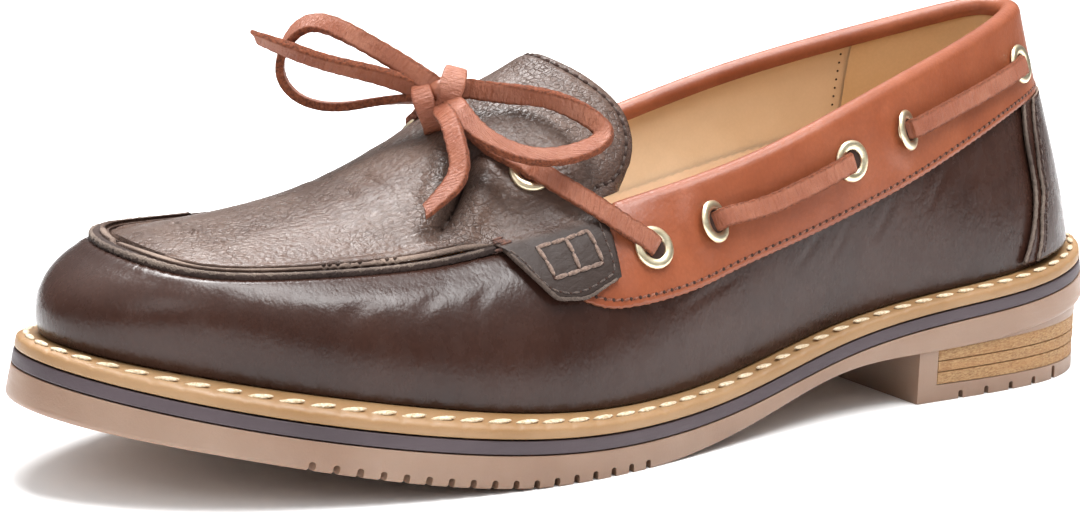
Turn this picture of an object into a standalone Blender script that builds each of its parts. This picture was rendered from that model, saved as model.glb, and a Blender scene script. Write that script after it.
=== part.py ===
"""Left slip-on shoe: moccasin apron, lace through a collar band, welted sole, stacked heel.

+X is the toe, +Y the outer side of a left foot, +Z up. The tables are in millimetres from the back of
the heel and from the heel's middle line, and place() brings them to the part's own frame in metres.
"""

import math

import bmesh
import bpy
import numpy as np
from mathutils import Matrix, Vector

# Driving dimensions, in millimetres.
LENGTH = 268.0  # sole, heel to toe
GAP = 0.3  # between pieces that touch
FACET = 0.25  # more room where both faces are curved
APRON_GAP = 0.72
MERGE = 0.02  # points nearer than this are one point
WALL = 1.8  # leather and lining of the upper
BAND_WALL = 1.2
APRON_WALL = 1.5
WELT_DEPTH = 2.8
MIDSOLE_DEPTH = 2.8
INSOLE_DEPTH = 2.6
LACE_WIDTH = 4.2
LACE_DEPTH = 1.8
TUBE_RADIUS = 1.6  # the free lace is a plain tube here
EYELET_BORE = 2.3
EYELET_FLANGE = 4.4
HEEL_FRONT = 66.0  # the breast of the heel
STACK_FRONT = 60.5  # front of the leather lifts behind the breast
HEEL_DRAW = 0.03  # how much narrower the heel is at the ground than at the welt
HEEL_LAP = 2.5  # how far the heel block reaches up into the sole
HEEL_INSET = 0.6
POCKET_BEHIND = 5.0  # how far the room for the lifts is cut past the heel
POCKET_SIDE = 50.0
LIFT_ROOM = 0.1  # more room above the top lift and under the bottom one
INSIDE = np.array([130.0, 0.0, 25.0])  # a point inside the upper, behind every wall
WELT_UNDER = 6.0  # how far the welt runs in under the upper
RIBS_FORE = (150.0, 224.0, 4.6)  # first and last notch of the forefoot, and their pitch
RIBS_HEEL = (21.0, 56.0, 8.0)
RIB_GAP = 1.4
NOTCH_IN = 7.0
NOTCH_UP = 2.0
TALL_NOTCH = 1.6  # times NOTCH_UP, the rearmost notch of the heel
EYELET_RISE = 1.2
EYELET_BARREL = 4.0
EYELET_SIDES = 10
HOLE_ROOM = 0.9  # round the bore, for the barrel
HOLE_SIDES = 8
HOLE_DEPTH = 16.0
STRIP_TOP = 1.30  # half width of the heel strip, in sections, under the band
STRIP_FOOT = 1.62  # and at the welt
STRIP_WALL = 1.0
STRIP_ENDS = (0.03, 0.645)  # from 0 at the welt to 1 at the collar
STRIP_COLUMNS = 13
STRIP_LINES = 6
BAND_TRIM = 0.10  # of a section, clear of the tab and the tongue
BAND_ROLL = 0.7  # how much higher the middle of the rolled rim stands
BAND_INSIDE = 0.95  # where its turned-in edge ends
BAR_DIP = 1.4  # how far a bar of lace comes down between its eyelets
BAR_SLOPE = 0.16  # share of the bar that stays up at each end
BAR_STOPS = 7
STRAP_ROWS = 9
KNOT = (175.0, 3.5, 75.4)
KNOT_SIZE = (5.0, 4.4, 4.0)
KNOT_SECTION = 5.42  # where the strands from the side eyelets meet the knot
KNOT_SIDE = 0.27
MIDDLE = (134.45, 4.60)  # the middle of the shoe's own box, the origin of the part


def table(names, *rows):
    """Columns by name, from one row for each section."""
    return dict(zip(names.split(), np.array(rows, float).T))


# The welt: its edge on the outer and inner side, how far in the upper meets it, and its rise there.
SOLE = table(
    "x outer inner ledge_out ledge_in rise",
    (0, 1.0, 1.0, 3.2, 3.2, 0.4),
    (12, 23.7, -22.0, 3.6, 3.6, 0.4),
    (40, 32.8, -30.5, 4.2, 4.0, 0.4),
    (80, 34.8, -30.0, 4.3, 4.0, 0.4),
    (120, 41.9, -31.0, 4.8, 4.2, 0.6),
    (160, 51.2, -38.0, 5.4, 4.6, 1.0),
    (190, 51.3, -42.5, 5.6, 5.0, 1.6),
    (220, 45.3, -41.1, 5.6, 5.2, 1.9),
    (245, 33.9, -31.5, 5.4, 5.2, 1.6),
    (262, 17.8, -18.4, 4.8, 4.8, 1.0),
    (LENGTH, -1.0, -1.0, 4.4, 4.4, 0.8),
)

# The side view of the sole: height of the welt's top, and the depth from there to the ground side.
PROFILE = table(
    "x top depth",
    (0, 31.2, 12.5),
    (30, 26.9, 12.5),
    (60, 24.4, 12.3),
    (90, 20.2, 9.6),
    (120, 14.0, 10.6),
    (150, 11.9, 12.4),
    (180, 13.5, 13.2),
    (210, 17.8, 12.7),
    (240, 23.5, 12.2),
    (LENGTH, 29.7, 13.0),
)

# The upper's wall at the same sections as SOLE: its top line (collar, then moccasin seam), the pull of
# the wall outward and up near the welt (low) and near the top line (high), and where the collar band
# starts, from 0 at the welt to 1 at the top line.
UPPER = table(
    "top_x mid half top_z low_out low_up high_out high_up band",
    (18.4, 0.0, 0.0, 86.0, 3.2, 16.0, 3.9, -18.0, 0.66),
    (22.5, 0.0, 8.5, 85.4, 3.0, 16.0, 4.0, -18.0, 0.67),
    (42.0, 0.0, 17.8, 80.3, 4.5, 17.0, 5.0, -18.0, 0.65),
    (80.0, 0.0, 28.8, 70.1, 4.0, 15.0, 3.5, -15.0, 0.56),
    (118.0, 0.0, 33.5, 58.6, 4.0, 14.0, 4.0, -13.0, 0.54),
    (158.0, 0.0, 32.3, 50.2, 3.0, 13.0, 8.0, -5.0, 0.49),
    (188.0, 0.0, 31.2, 44.9, 2.5, 12.0, 9.5, -2.0, 0.6),
    (215.0, -0.5, 30.0, 44.1, 2.5, 10.0, 10.0, -1.0, 0.6),
    (238.0, -0.8, 25.6, 45.3, 2.5, 9.0, 9.0, -1.0, 0.6),
    (249.0, -1.0, 14.8, 48.0, 2.6, 8.0, 9.5, -2.0, 0.6),
    (251.5, -1.0, 0.0, 49.3, 2.6, 7.0, 11.5, -3.0, 0.6),
)

# The crown of the apron over each section of UPPER, from the toe back: its middle line and fullness.
CROWN = table(
    "x z fullness",
    (251.5, 49.3, 2.0),
    (249.5, 50.2, 2.0),
    (239.5, 51.6, 2.1),
    (216.5, 53.3, 2.2),
    (191.0, 60.5, 2.3),
    (166.0, 73.6, 2.5),
    (152.0, 82.0, 2.5),
)

# The free end of the tongue, from its middle (0) to either side (1).
TONGUE_END = table(
    "across x y z",
    (0.0, 149.6, 0.0, 82.5),
    (0.2, 148.2, 5.2, 81.6),
    (0.4, 144.0, 10.6, 78.7),
    (0.6, 139.5, 15.8, 74.0),
    (0.78, 137.8, 20.6, 68.0),
    (0.9, 139.6, 24.4, 61.8),
    (1.0, 144.0, 27.3, 55.5),
)

# The tab of the apron that laps over the side: its lower edge, from 0 at the welt to 1 at the top line.
TAB = table(
    "section low",
    (4.875, 0.62),
    (5.0, 0.565),
    (5.12, 0.54),
    (5.26, 0.54),
    (5.36, 0.575),
    (5.48, 0.68),
    (5.58, 0.80),
)

# Eyelets of the collar band on one side, front to back, and the one beside the tongue.
COLLAR_EYELETS = table(
    "section height",
    (4.61, 0.74),
    (4.20, 0.79),
    (3.18, 0.80),
    (2.72, 0.81),
    (1.19, 0.82),
)
APRON_EYELET = (5.17, 0.75)  # section, share of the way across

# The lace from the apron's eyelet to the first one of the collar: section, place on the surface there
# (across the crown ahead of the throat, up the side behind it), and height over it.
SIDE_LACE = table(
    "section place height",
    (5.12, 0.80, 5.15),
    (5.03, 0.90, 4.3),
    (4.85, 0.95, 4.2),
    (4.76, 0.84, 3.7),
    (4.61, 0.74, 5.2),
)

# The lace from the apron's eyelet to the knot: share of the way, and height over the crown.
KNOT_LACE = table(
    "share height",
    (0.15, 5.2),
    (0.45, 3.9),
    (0.8, 3.9),
    (1.0, 4.2),
)

# The leather lifts of the heel: the height of each joint between them at the back and at the breast.
LIFTS = table(
    "back front",
    (14.3, 12.3),
    (10.0, 9.6),
    (7.0, 7.0),
    (3.3, 4.0),
)

# The free stretches of the lace, from the knot out, as points placed by hand.
BOW = {
    "lace_loop_front": (
        (177.5, 0.0, 77.8),
        (182.0, -6.6, 81.8),
        (189.0, -12.0, 86.5),
        (194.0, -16.0, 89.0),
        (198.0, -19.0, 88.5),
        (201.0, -21.0, 84.8),
        (202.0, -22.0, 80.0),
        (200.5, -21.0, 75.5),
        (197.0, -18.0, 71.8),
        (191.0, -13.0, 70.6),
        (184.0, -8.4, 72.0),
        (178.1, -0.5, 74.2),
    ),
    "lace_end_front": (
        (180.5, 2.1, 76.4),
        (187.0, -2.5, 78.9),
        (194.5, -9.0, 81.0),
        (200.5, -13.5, 83.0),
        (205.0, -17.0, 85.2),
        (209.0, -20.0, 87.3),
    ),
    "lace_loop_back": (
        (169.5, 7.0, 77.0),
        (164.0, 13.0, 77.2),
        (158.0, 19.0, 76.0),
        (152.5, 25.0, 73.2),
        (149.5, 29.0, 69.5),
        (151.0, 31.5, 66.8),
        (156.0, 32.0, 65.6),
        (163.0, 32.0, 65.6),
        (170.0, 29.5, 67.4),
        (175.0, 23.0, 70.4),
        (176.0, 13.5, 73.4),
    ),
    "lace_end_back": (
        (180.5, 8.5, 73.0),
        (182.0, 15.0, 70.8),
        (184.0, 21.0, 66.6),
        (186.5, 25.0, 61.6),
        (193.0, 27.5, 55.8),
    ),
}

TOE = 10  # section numbers: 0 heel, 1 to 9 outer side, 10 toe, 11 to 19 inner side
AROUND = 20
THROAT = TAB["section"][0]  # where the apron lets go of the collar
TAB_FRONT = TAB["section"][-1]
APRON_FRONT = TOE - 0.12
LIP_FRONT = TOE - 0.8
WALL_LINES = 5  # rows of faces from the welt to the collar band
BAND_LINES = 3
TAB_COLUMNS = 5
SOLE_SECTIONS = np.linspace(0, TOE, 31)
CROWN_LINES = 8
APRON_COLUMNS = 8
LIP_WIDTH = 2.4
LIP_RISE = 1.2  # of the apron's edge along the seam
TONGUE_LINES = 4
TONGUE_NARROW = 0.05  # how much narrower it is where it leaves the throat
TAB_LINES = 4


def natural_spline(knots, values):
    """A function that reads the natural cubic spline through the rows of values."""
    knots = np.asarray(knots, float)
    values = np.asarray(values, float)
    steps = np.diff(knots)
    count = len(knots)
    system = np.eye(count)
    right = np.zeros_like(values)
    for i in range(1, count - 1):
        system[i, i - 1 : i + 2] = steps[i - 1], 2 * (steps[i - 1] + steps[i]), steps[i]
        rise_after = (values[i + 1] - values[i]) / steps[i]
        rise_before = (values[i] - values[i - 1]) / steps[i - 1]
        right[i] = 6 * (rise_after - rise_before)
    bend = np.linalg.solve(system, right)

    def read(at):
        i = min(max(int(np.searchsorted(knots, at)) - 1, 0), count - 2)
        after = (at - knots[i]) / steps[i]
        before = 1 - after
        bent = (before**3 - before) * bend[i] + (after**3 - after) * bend[i + 1]
        return before * values[i] + after * values[i + 1] + bent * steps[i] ** 2 / 6

    return read


def both_sides(outer, inner):
    """One value for each of the 20 sections: heel, outer side, toe, inner side back to the heel."""
    return np.concatenate([outer, inner[-2:0:-1]])


EDGE = np.stack(
    [both_sides(SOLE["x"], SOLE["x"]), both_sides(SOLE["outer"], SOLE["inner"])], axis=1
)
CHORDS = np.linalg.norm(np.diff(np.vstack([EDGE, EDGE[:1]]), axis=0), axis=1)
KNOTS = np.concatenate([[0.0], np.cumsum(np.sqrt(CHORDS))])


def around(values):
    """A function that reads a closed spline through the 20 sections at any section number."""
    wrapped = np.concatenate([values[-4:], values, values[:5]])
    turn = KNOTS[-1]
    knots = np.concatenate([KNOTS[-5:-1] - turn, KNOTS[:-1], KNOTS[:5] + turn])
    read = natural_spline(knots, wrapped)
    return lambda q: read(np.interp(q % AROUND, range(AROUND + 1), KNOTS))


def same_both_sides(name):
    return around(both_sides(UPPER[name], UPPER[name]))


edge_at = around(EDGE)
ledge_at = around(both_sides(SOLE["ledge_out"], SOLE["ledge_in"]))
rise_at = around(both_sides(SOLE["rise"], SOLE["rise"]))
sole_top = natural_spline(PROFILE["x"], PROFILE["top"])
sole_depth = natural_spline(PROFILE["x"], PROFILE["depth"])
top_line = around(
    np.stack(
        [
            both_sides(UPPER["top_x"], UPPER["top_x"]),
            both_sides(UPPER["mid"] + UPPER["half"], UPPER["mid"] - UPPER["half"]),
            both_sides(UPPER["top_z"], UPPER["top_z"]),
        ],
        axis=1,
    )
)
low_out = same_both_sides("low_out")
low_up = same_both_sides("low_up")
high_out = same_both_sides("high_out")
high_up = same_both_sides("high_up")
band_start = same_both_sides("band")
tab_low = natural_spline(TAB["section"], TAB["low"])
crown_line = natural_spline(
    range(len(CROWN["x"])), np.stack([CROWN["x"], CROWN["z"], CROWN["fullness"]], axis=1)
)
tongue_side = np.stack([TONGUE_END["x"], TONGUE_END["y"], TONGUE_END["z"]], axis=1)
tongue_end = natural_spline(
    np.concatenate([-TONGUE_END["across"][:0:-1], TONGUE_END["across"]]),
    np.concatenate([tongue_side[:0:-1] * (1, -1, 1), tongue_side]),
)


def outward(q):
    """The level direction out of the shoe at section q."""
    step = 0.01
    along = edge_at(q + step) - edge_at(q - step)
    return np.array([-along[1], along[0]]) / np.hypot(*along)


def sole_point(q, inset, depth, lift=0.0):
    """A point of a sole layer: in from the welt's edge, and down square to the sole's own slope."""
    x, y = edge_at(q) - outward(q) * inset
    slope = (sole_top(x + 0.5) - sole_top(x - 0.5)) / 1.0
    length = math.hypot(1.0, slope)
    z = sole_top(x) + lift - depth / length
    return np.array([x + depth * slope / length, y, max(z, 0.0)])


def feather(q):
    """Where the upper's outer face meets the welt."""
    return sole_point(q, ledge_at(q), 0.0, rise_at(q) + GAP)


def side(q, v):
    """The upper's outer face below the top line: v is 0 at the welt and 1 at the top line."""
    out = np.append(outward(q), 0.0)
    up = np.array([0.0, 0.0, 1.0])
    foot = feather(q)
    top = top_line(q)
    low = foot + out * low_out(q) + up * low_up(q)
    high = top + out * high_out(q) + up * high_up(q)
    w = 1 - v
    return w**3 * foot + 3 * w * w * v * low + 3 * w * v * v * high + v**3 * top


def crown(q, across):
    """The apron's face at section q (THROAT to TOE), across from -1 on the inner side to 1 on the outer."""
    outer = top_line(q)
    inner = top_line(AROUND - q)
    mid_x, mid_z, fullness = crown_line(TOE - q)
    middle = np.array([mid_x, (outer[1] + inner[1]) / 2, mid_z])
    edge = outer if across > 0 else inner
    share = abs(across)
    return np.array(
        [
            middle[0] + (edge[0] - middle[0]) * share**2,
            middle[1] + (edge[1] - middle[1]) * share,
            middle[2] + (edge[2] - middle[2]) * share**fullness,
        ]
    )


def tongue(back, across):
    """The tongue behind the throat: back is 0 at the throat and 1 at its free end."""
    start = crown(THROAT, across * (1 - TONGUE_NARROW * min(1.0, 4 * back)))
    return start + (tongue_end(across) - start) * back


def place(point):
    """Millimetres from the heel to metres in the part's frame."""
    return ((point[0] - MIDDLE[0]) / 1000, (point[1] - MIDDLE[1]) / 1000, point[2] / 1000)


def facing(surface, a, b):
    """The unit normal of a surface function, out of the shoe, and its direction along b."""
    step = 0.02
    along_a = surface(a + step, b) - surface(a - step, b)
    along_b = surface(a, b + step) - surface(a, b - step)
    normal = np.cross(along_b, along_a)
    if normal @ (surface(a, b) - INSIDE) < 0:
        normal = -normal
    return normal / np.linalg.norm(normal), along_b / np.linalg.norm(along_b)


def clear_scene():
    for old in list(bpy.data.objects):
        bpy.data.objects.remove(old, do_unlink=True)


def material(name, colour, roughness, metallic=0.0):
    made = bpy.data.materials.new(name)
    made.use_nodes = True
    shader = made.node_tree.nodes["Principled BSDF"]
    shader.inputs["Base Color"].default_value = (*colour, 1.0)
    shader.inputs["Roughness"].default_value = roughness
    shader.inputs["Metallic"].default_value = metallic
    made.diffuse_color = (*colour, 1.0)
    return made


def add_object(name, bm, look, collection):
    """A mesh object from a bmesh in millimetres, with its doubled points merged."""
    bmesh.ops.remove_doubles(bm, verts=bm.verts, dist=MERGE)
    bmesh.ops.dissolve_degenerate(bm, edges=bm.edges, dist=MERGE)
    for vert in bm.verts:
        vert.co = place(vert.co)
    mesh = bpy.data.meshes.new(name)
    bm.to_mesh(mesh)
    bm.free()
    mesh.shade_smooth()
    mesh.set_sharp_from_angle(angle=math.radians(40))
    if look:
        mesh.materials.append(look)
    made = bpy.data.objects.new(name, mesh)
    collection.objects.link(made)
    return made


def skin(bm, rows, close=False):
    """Faces over a grid of points, each row a list of points; close joins the last row to the first."""
    made = [[bm.verts.new(point) for point in row] for row in rows]
    if close:
        made.append(made[0])
    for row, after in zip(made, made[1:]):
        for i in range(len(row) - 1):
            bm.faces.new((row[i], row[i + 1], after[i + 1], after[i]))
    return made


def thicken(made, depth, side_of=1.0):
    """Solidify from the surface outward (1) or inward (-1), by a depth in millimetres."""
    shell = made.modifiers.new("Wall", "SOLIDIFY")
    shell.thickness = depth / 1000
    shell.offset = side_of
    shell.use_even_offset = True
    return shell


def lift(bm, height):
    """Moves every point of a surface out along its own normal."""
    bmesh.ops.remove_doubles(bm, verts=bm.verts, dist=MERGE)
    bm.normal_update()
    moved = [vert.co + vert.normal * height for vert in bm.verts]
    for vert, point in zip(bm.verts, moved):
        vert.co = point


def cut(made, cutter, operation="DIFFERENCE"):
    boolean = made.modifiers.new(cutter.name, "BOOLEAN")
    boolean.operation = operation
    boolean.object = cutter
    boolean.solver = "EXACT"
    cutter.hide_render = True
    cutter.display_type = "WIRE"


def sections_around():
    """Section numbers of the upper's columns: heel, outer side, toe, inner side."""
    outer = np.concatenate(
        [
            np.linspace(0, THROAT, 17)[:-1],
            np.linspace(THROAT, TAB_FRONT, TAB_COLUMNS + 1)[:-1],
            np.linspace(TAB_FRONT, TOE, 14),
        ]
    )
    return np.concatenate([outer, AROUND - outer[-2:0:-1]])


def wall_lines(q):
    start = float(band_start(q))
    low = np.linspace(0, start, WALL_LINES + 1)
    return np.concatenate([low, np.linspace(start, 1, BAND_LINES + 1)[1:]])


def crown_sections(front):
    return [q for q in sections_around() if THROAT - 0.001 <= q <= front]


def crown_row(q):
    return [crown(q, a) for a in np.linspace(1, -1, CROWN_LINES + 1)]


def apron_across(q):
    """Places across the apron at section q: the lip's two edges, then even columns between."""
    half = (top_line(q)[1] - top_line(AROUND - q)[1]) / 2
    foot = 1 - min(LIP_WIDTH / half, 2 / APRON_COLUMNS)
    return [1.0, *np.linspace(foot, -foot, APRON_COLUMNS - 1), -1.0]


def apron_row(q):
    """Like crown_row, with a narrow lip that stands up along the moccasin seam."""
    row = [crown(q, a) for a in apron_across(q)]
    if TAB_FRONT + 0.01 < q < LIP_FRONT:
        row[0][2] += LIP_RISE
        row[-1][2] += LIP_RISE
    return row


def build_upper(look, collection):
    """One shell: side walls from the welt to the top line, and the vamp's lining under the apron."""
    bm = bmesh.new()
    skin(bm, [[side(q, v) for v in wall_lines(q)] for q in sections_around()], close=True)
    skin(bm, [crown_row(q) for q in crown_sections(TOE)])
    made = add_object("upper", bm, look, collection)
    thicken(made, WALL, -1.0)
    return made


def tab_grid(sign):
    rows = []
    for q in np.linspace(THROAT, TAB_FRONT, TAB_COLUMNS + 1):
        low = float(tab_low(q))
        at = q if sign > 0 else AROUND - q
        rows.append([side(at, v) for v in np.linspace(1, low, TAB_LINES + 1)])
    return rows


def build_apron(look, collection):
    """The moccasin apron, its tongue and its two side tabs, one piece of leather over the upper."""
    bm = bmesh.new()
    backs = np.linspace(1, 0, TONGUE_LINES + 1)[:-1]
    rows = [[tongue(back, a) for a in apron_across(THROAT)] for back in backs]
    skin(bm, rows + [apron_row(q) for q in [*crown_sections(APRON_FRONT), APRON_FRONT]])
    skin(bm, [row[::-1] for row in tab_grid(1)])
    skin(bm, tab_grid(-1))
    lift(bm, APRON_GAP)
    made = add_object("apron_tongue", bm, look, collection)
    thicken(made, APRON_WALL, 1.0)
    return made


def lift_height(joint, x):
    """The height of a joint between heel lifts at a distance from the back of the heel."""
    back, front = LIFTS["back"][joint], LIFTS["front"][joint]
    return back + (front - back) * min(max(x / STACK_FRONT, 0.0), 1.0)


def heel_point(q, z):
    """The heel block's side: it draws in a little towards the ground."""
    x, y = edge_at(q)
    under = 1.0 - HEEL_DRAW * (1 - z / PROFILE["top"][0])
    return np.array([min(x, HEEL_FRONT), y * under, z])


def sections_to(front):
    """Sections of the outer side from the heel to where the sole's edge is that far forward."""
    fine = np.linspace(0, 4, 401)
    last = np.interp(front, [edge_at(q)[0] for q in fine], fine)
    return np.linspace(0, last, 12)


def slab(top, bottom, sections):
    """A closed plate between two outlines, each a function of the section number, heel to front."""
    bm = bmesh.new()
    rows = [
        [top(q), top(AROUND - q), bottom(AROUND - q), bottom(q), top(q)] for q in sections
    ]
    skin(bm, rows)
    bmesh.ops.remove_doubles(bm, verts=bm.verts, dist=MERGE)
    bmesh.ops.dissolve_degenerate(bm, edges=bm.edges, dist=MERGE)
    open_edges = [edge for edge in bm.edges if edge.is_boundary]
    if open_edges:
        bmesh.ops.holes_fill(bm, edges=open_edges)
    bmesh.ops.recalc_face_normals(bm, faces=bm.faces)
    return bm


def build_welt(look, collection):
    """A strip round the sole: a ring whose top slopes up to the upper."""
    bm = bmesh.new()
    rows = []
    for q in np.arange(0, AROUND, 1 / 3):
        inner = ledge_at(q) + WELT_UNDER
        rise = rise_at(q)
        ring = [
            sole_point(q, 0.0, 0.0),
            sole_point(q, ledge_at(q), 0.0, rise),
            sole_point(q, inner, 0.0, rise),
            sole_point(q, inner, WELT_DEPTH),
            sole_point(q, 0.0, WELT_DEPTH),
        ]
        rows.append(ring + ring[:1])
    skin(bm, rows, close=True)
    bmesh.ops.remove_doubles(bm, verts=bm.verts, dist=MERGE)
    bmesh.ops.recalc_face_normals(bm, faces=bm.faces)
    return add_object("welt", bm, look, collection)


def build_midsole(look, collection):
    top = WELT_DEPTH + GAP
    bm = slab(
        lambda q: sole_point(q, 0.0, top),
        lambda q: sole_point(q, 0.0, top + MIDSOLE_DEPTH),
        SOLE_SECTIONS,
    )
    return add_object("midsole", bm, look, collection)


def build_insole(look, collection):
    def inset(q):
        return ledge_at(q) + WALL + 2 * GAP

    bm = slab(
        lambda q: sole_point(q, inset(q), 0.0, rise_at(q) + GAP + INSOLE_DEPTH),
        lambda q: sole_point(q, inset(q), 0.0, rise_at(q) + GAP),
        SOLE_SECTIONS,
    )
    return add_object("insole", bm, look, collection)


def box_cutter(bm, middle, size, turn, pitch):
    """A box turned about the vertical and pitched with the sole."""
    made = bmesh.ops.create_cube(bm, size=1.0)["verts"]
    bmesh.ops.scale(bm, verts=made, vec=size)
    bmesh.ops.rotate(bm, verts=made, matrix=Matrix.Rotation(pitch, 3, "Y"))
    bmesh.ops.rotate(bm, verts=made, matrix=Matrix.Rotation(turn, 3, "Z"))
    bmesh.ops.translate(bm, verts=made, vec=middle)


def rib_cutters(cutters):
    """Notches up the lower edge of the sole, which leave its ribs."""
    bm = bmesh.new()
    fine = np.linspace(0, TOE, 801)
    for sign in (1, -1):
        sections = fine if sign > 0 else AROUND - fine
        edge_x = [edge_at(q)[0] for q in sections]
        for x in np.arange(*RIBS_FORE):
            q = np.interp(x, edge_x, sections)
            foot = sole_point(q, 0.0, float(sole_depth(x)))
            slope = sole_top(x + 0.5) - sole_top(x - 0.5)
            size = (RIB_GAP, NOTCH_IN * 2, NOTCH_UP * 2)
            box_cutter(bm, foot, size, 0.0, -math.atan(slope))
        for x in np.arange(*RIBS_HEEL):
            q = np.interp(x, edge_x, sections)
            tall = TALL_NOTCH if x < RIBS_HEEL[0] + 1 else 1.0
            size = (RIB_GAP, NOTCH_IN, NOTCH_UP * 2 * tall)
            box_cutter(bm, heel_point(q, 0.0), size, 0.0, 0.0)
    return add_object("rib_cutter", bm, None, cutters)


def build_outsole(look, collection, cutters):
    """The rubber unit: sole, heel breast and top piece, with room for the leather lifts."""
    top = WELT_DEPTH + MIDSOLE_DEPTH + 2 * GAP
    bm = slab(
        lambda q: sole_point(q, 0.0, top),
        lambda q: sole_point(q, 0.0, float(sole_depth(edge_at(q)[0]))),
        SOLE_SECTIONS,
    )
    made = add_object("outsole", bm, look, collection)
    bm = slab(
        lambda q: sole_point(q, HEEL_INSET, top + HEEL_LAP),
        lambda q: heel_point(q, 0.0),
        sections_to(HEEL_FRONT),
    )
    cut(made, add_object("heel_block", bm, None, cutters), "UNION")
    bm = bmesh.new()
    corners = ((0, -POCKET_BEHIND), (0, STACK_FRONT), (-1, STACK_FRONT), (-1, -POCKET_BEHIND))
    profile = [(x, lift_height(joint, x)) for joint, x in corners]
    rows = [[(x, y, z) for x, z in profile + profile[:1]] for y in (-POCKET_SIDE, POCKET_SIDE)]
    skin(bm, rows)
    bmesh.ops.remove_doubles(bm, verts=bm.verts, dist=MERGE)
    bmesh.ops.holes_fill(bm, edges=[edge for edge in bm.edges if edge.is_boundary])
    bmesh.ops.recalc_face_normals(bm, faces=bm.faces)
    cut(made, add_object("lift_pocket", bm, None, cutters))
    cut(made, rib_cutters(cutters))
    return made


def build_lifts(look, collection):
    """The stacked leather lifts of the heel, top to bottom."""
    front = STACK_FRONT - GAP
    last = len(LIFTS["back"]) - 2
    for joint in range(last + 1):

        def face(q, at, step):
            x, y = edge_at(q)
            z = lift_height(at, x) + step
            point = heel_point(q, z)
            return np.array([min(x, front), point[1], z])

        bm = slab(
            lambda q: face(q, joint, -GAP / 2 - LIFT_ROOM * (joint == 0)),
            lambda q: face(q, joint + 1, GAP / 2 + LIFT_ROOM * (joint == last)),
            sections_to(front),
        )
        add_object(f"heel_lift_{joint + 1}", bm, look, collection)


def band_sections():
    outer = [q for q in sections_around() if q < THROAT + 0.001]
    return [q - AROUND for q in sections_around() if q > AROUND - THROAT - 0.001] + outer


def band_row(q, start):
    """From the band's lower edge up the outer face, and over the collar to the inside."""
    normal, upward = facing(side, q, 1.0)
    top = side(q, 1.0)
    over = GAP + FACET / 2
    row = []
    for v in np.linspace(start, 1, BAND_LINES + 1):
        row.append(side(q, v) + facing(side, q, v)[0] * over)
    inside = WALL + over
    row.append(top + normal * over + upward * over)
    row.append(top - normal * WALL / 2 + upward * (over + BAND_ROLL))
    row.append(top - normal * inside + upward * over)
    row.append(side(q, BAND_INSIDE) - facing(side, q, BAND_INSIDE)[0] * inside)
    return row


def build_collar_band(look, collection):
    bm = bmesh.new()
    sections = band_sections()
    sections[0] += BAND_TRIM
    sections[-1] -= BAND_TRIM
    skin(bm, [band_row(q, float(band_start(q))) for q in sections])
    made = add_object("collar_band", bm, look, collection)
    thicken(made, BAND_WALL, 1.0)
    return made


def build_heel_strip(look, collection):
    """The strip that covers the back of the quarters, from the welt to the collar band."""
    bm = bmesh.new()
    rows = []
    for share in np.linspace(-1, 1, STRIP_COLUMNS):
        row = []
        for v in np.linspace(*STRIP_ENDS, STRIP_LINES):
            reach = STRIP_FOOT - (STRIP_FOOT - STRIP_TOP) * (v / STRIP_ENDS[1]) ** 2
            q = share * reach
            row.append(side(q, v) + facing(side, q, v)[0] * (GAP + FACET))
        rows.append(row)
    skin(bm, rows)
    made = add_object("heel_strip", bm, look, collection)
    thicken(made, STRIP_WALL, 1.0)
    return made


def turn_to(made, point, normal):
    made.location = place(point)
    made.rotation_mode = "QUATERNION"
    made.rotation_quaternion = Vector(normal).to_track_quat("Z", "Y")


def eyelet_mesh():
    """A rolled metal ring with its barrel down through the leather, as a closed profile for Screw."""
    ring = [
        (EYELET_BORE, 0.7),
        ((EYELET_BORE + EYELET_FLANGE) / 2, EYELET_RISE),
        (EYELET_FLANGE, 0.6),
        (EYELET_FLANGE - 0.3, 0.0),
        (EYELET_BORE + 0.4, 0.0),
        (EYELET_BORE + 0.4, -EYELET_BARREL),
        (EYELET_BORE, -EYELET_BARREL),
    ]
    mesh = bpy.data.meshes.new("eyelet")
    points = [(r / 1000, 0.0, z / 1000) for r, z in ring]
    mesh.from_pydata(points, [(i, (i + 1) % len(ring)) for i in range(len(ring))], [])
    return mesh


def eyelet_places():
    """(name, surface, its two parameters, height of the leather there) for every eyelet."""
    places = []
    for i, (q, v) in enumerate(zip(COLLAR_EYELETS["section"], COLLAR_EYELETS["height"])):
        places.append((f"eyelet_outer_{i + 1}", side, q, v, BAND_WALL))
        places.append((f"eyelet_inner_{i + 1}", side, AROUND - q, v, BAND_WALL))
    q, across = APRON_EYELET
    places.append(("eyelet_outer_0", crown, q, across, APRON_WALL))
    places.append(("eyelet_inner_0", crown, q, -across, APRON_WALL))
    return places


def build_eyelets(look, collection):
    mesh = eyelet_mesh()
    mesh.materials.append(look)
    for name, surface, a, b, wall in eyelet_places():
        made = bpy.data.objects.new(name, mesh)
        collection.objects.link(made)
        spin = made.modifiers.new("Turn", "SCREW")
        spin.steps = EYELET_SIDES
        spin.render_steps = EYELET_SIDES
        spin.use_merge_vertices = True
        spin.merge_threshold = 0.00001
        spin.use_normal_calculate = True
        normal = facing(surface, a, b)[0]
        turn_to(made, surface(a, b) + normal * (wall + 2 * GAP + FACET), normal)


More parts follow.
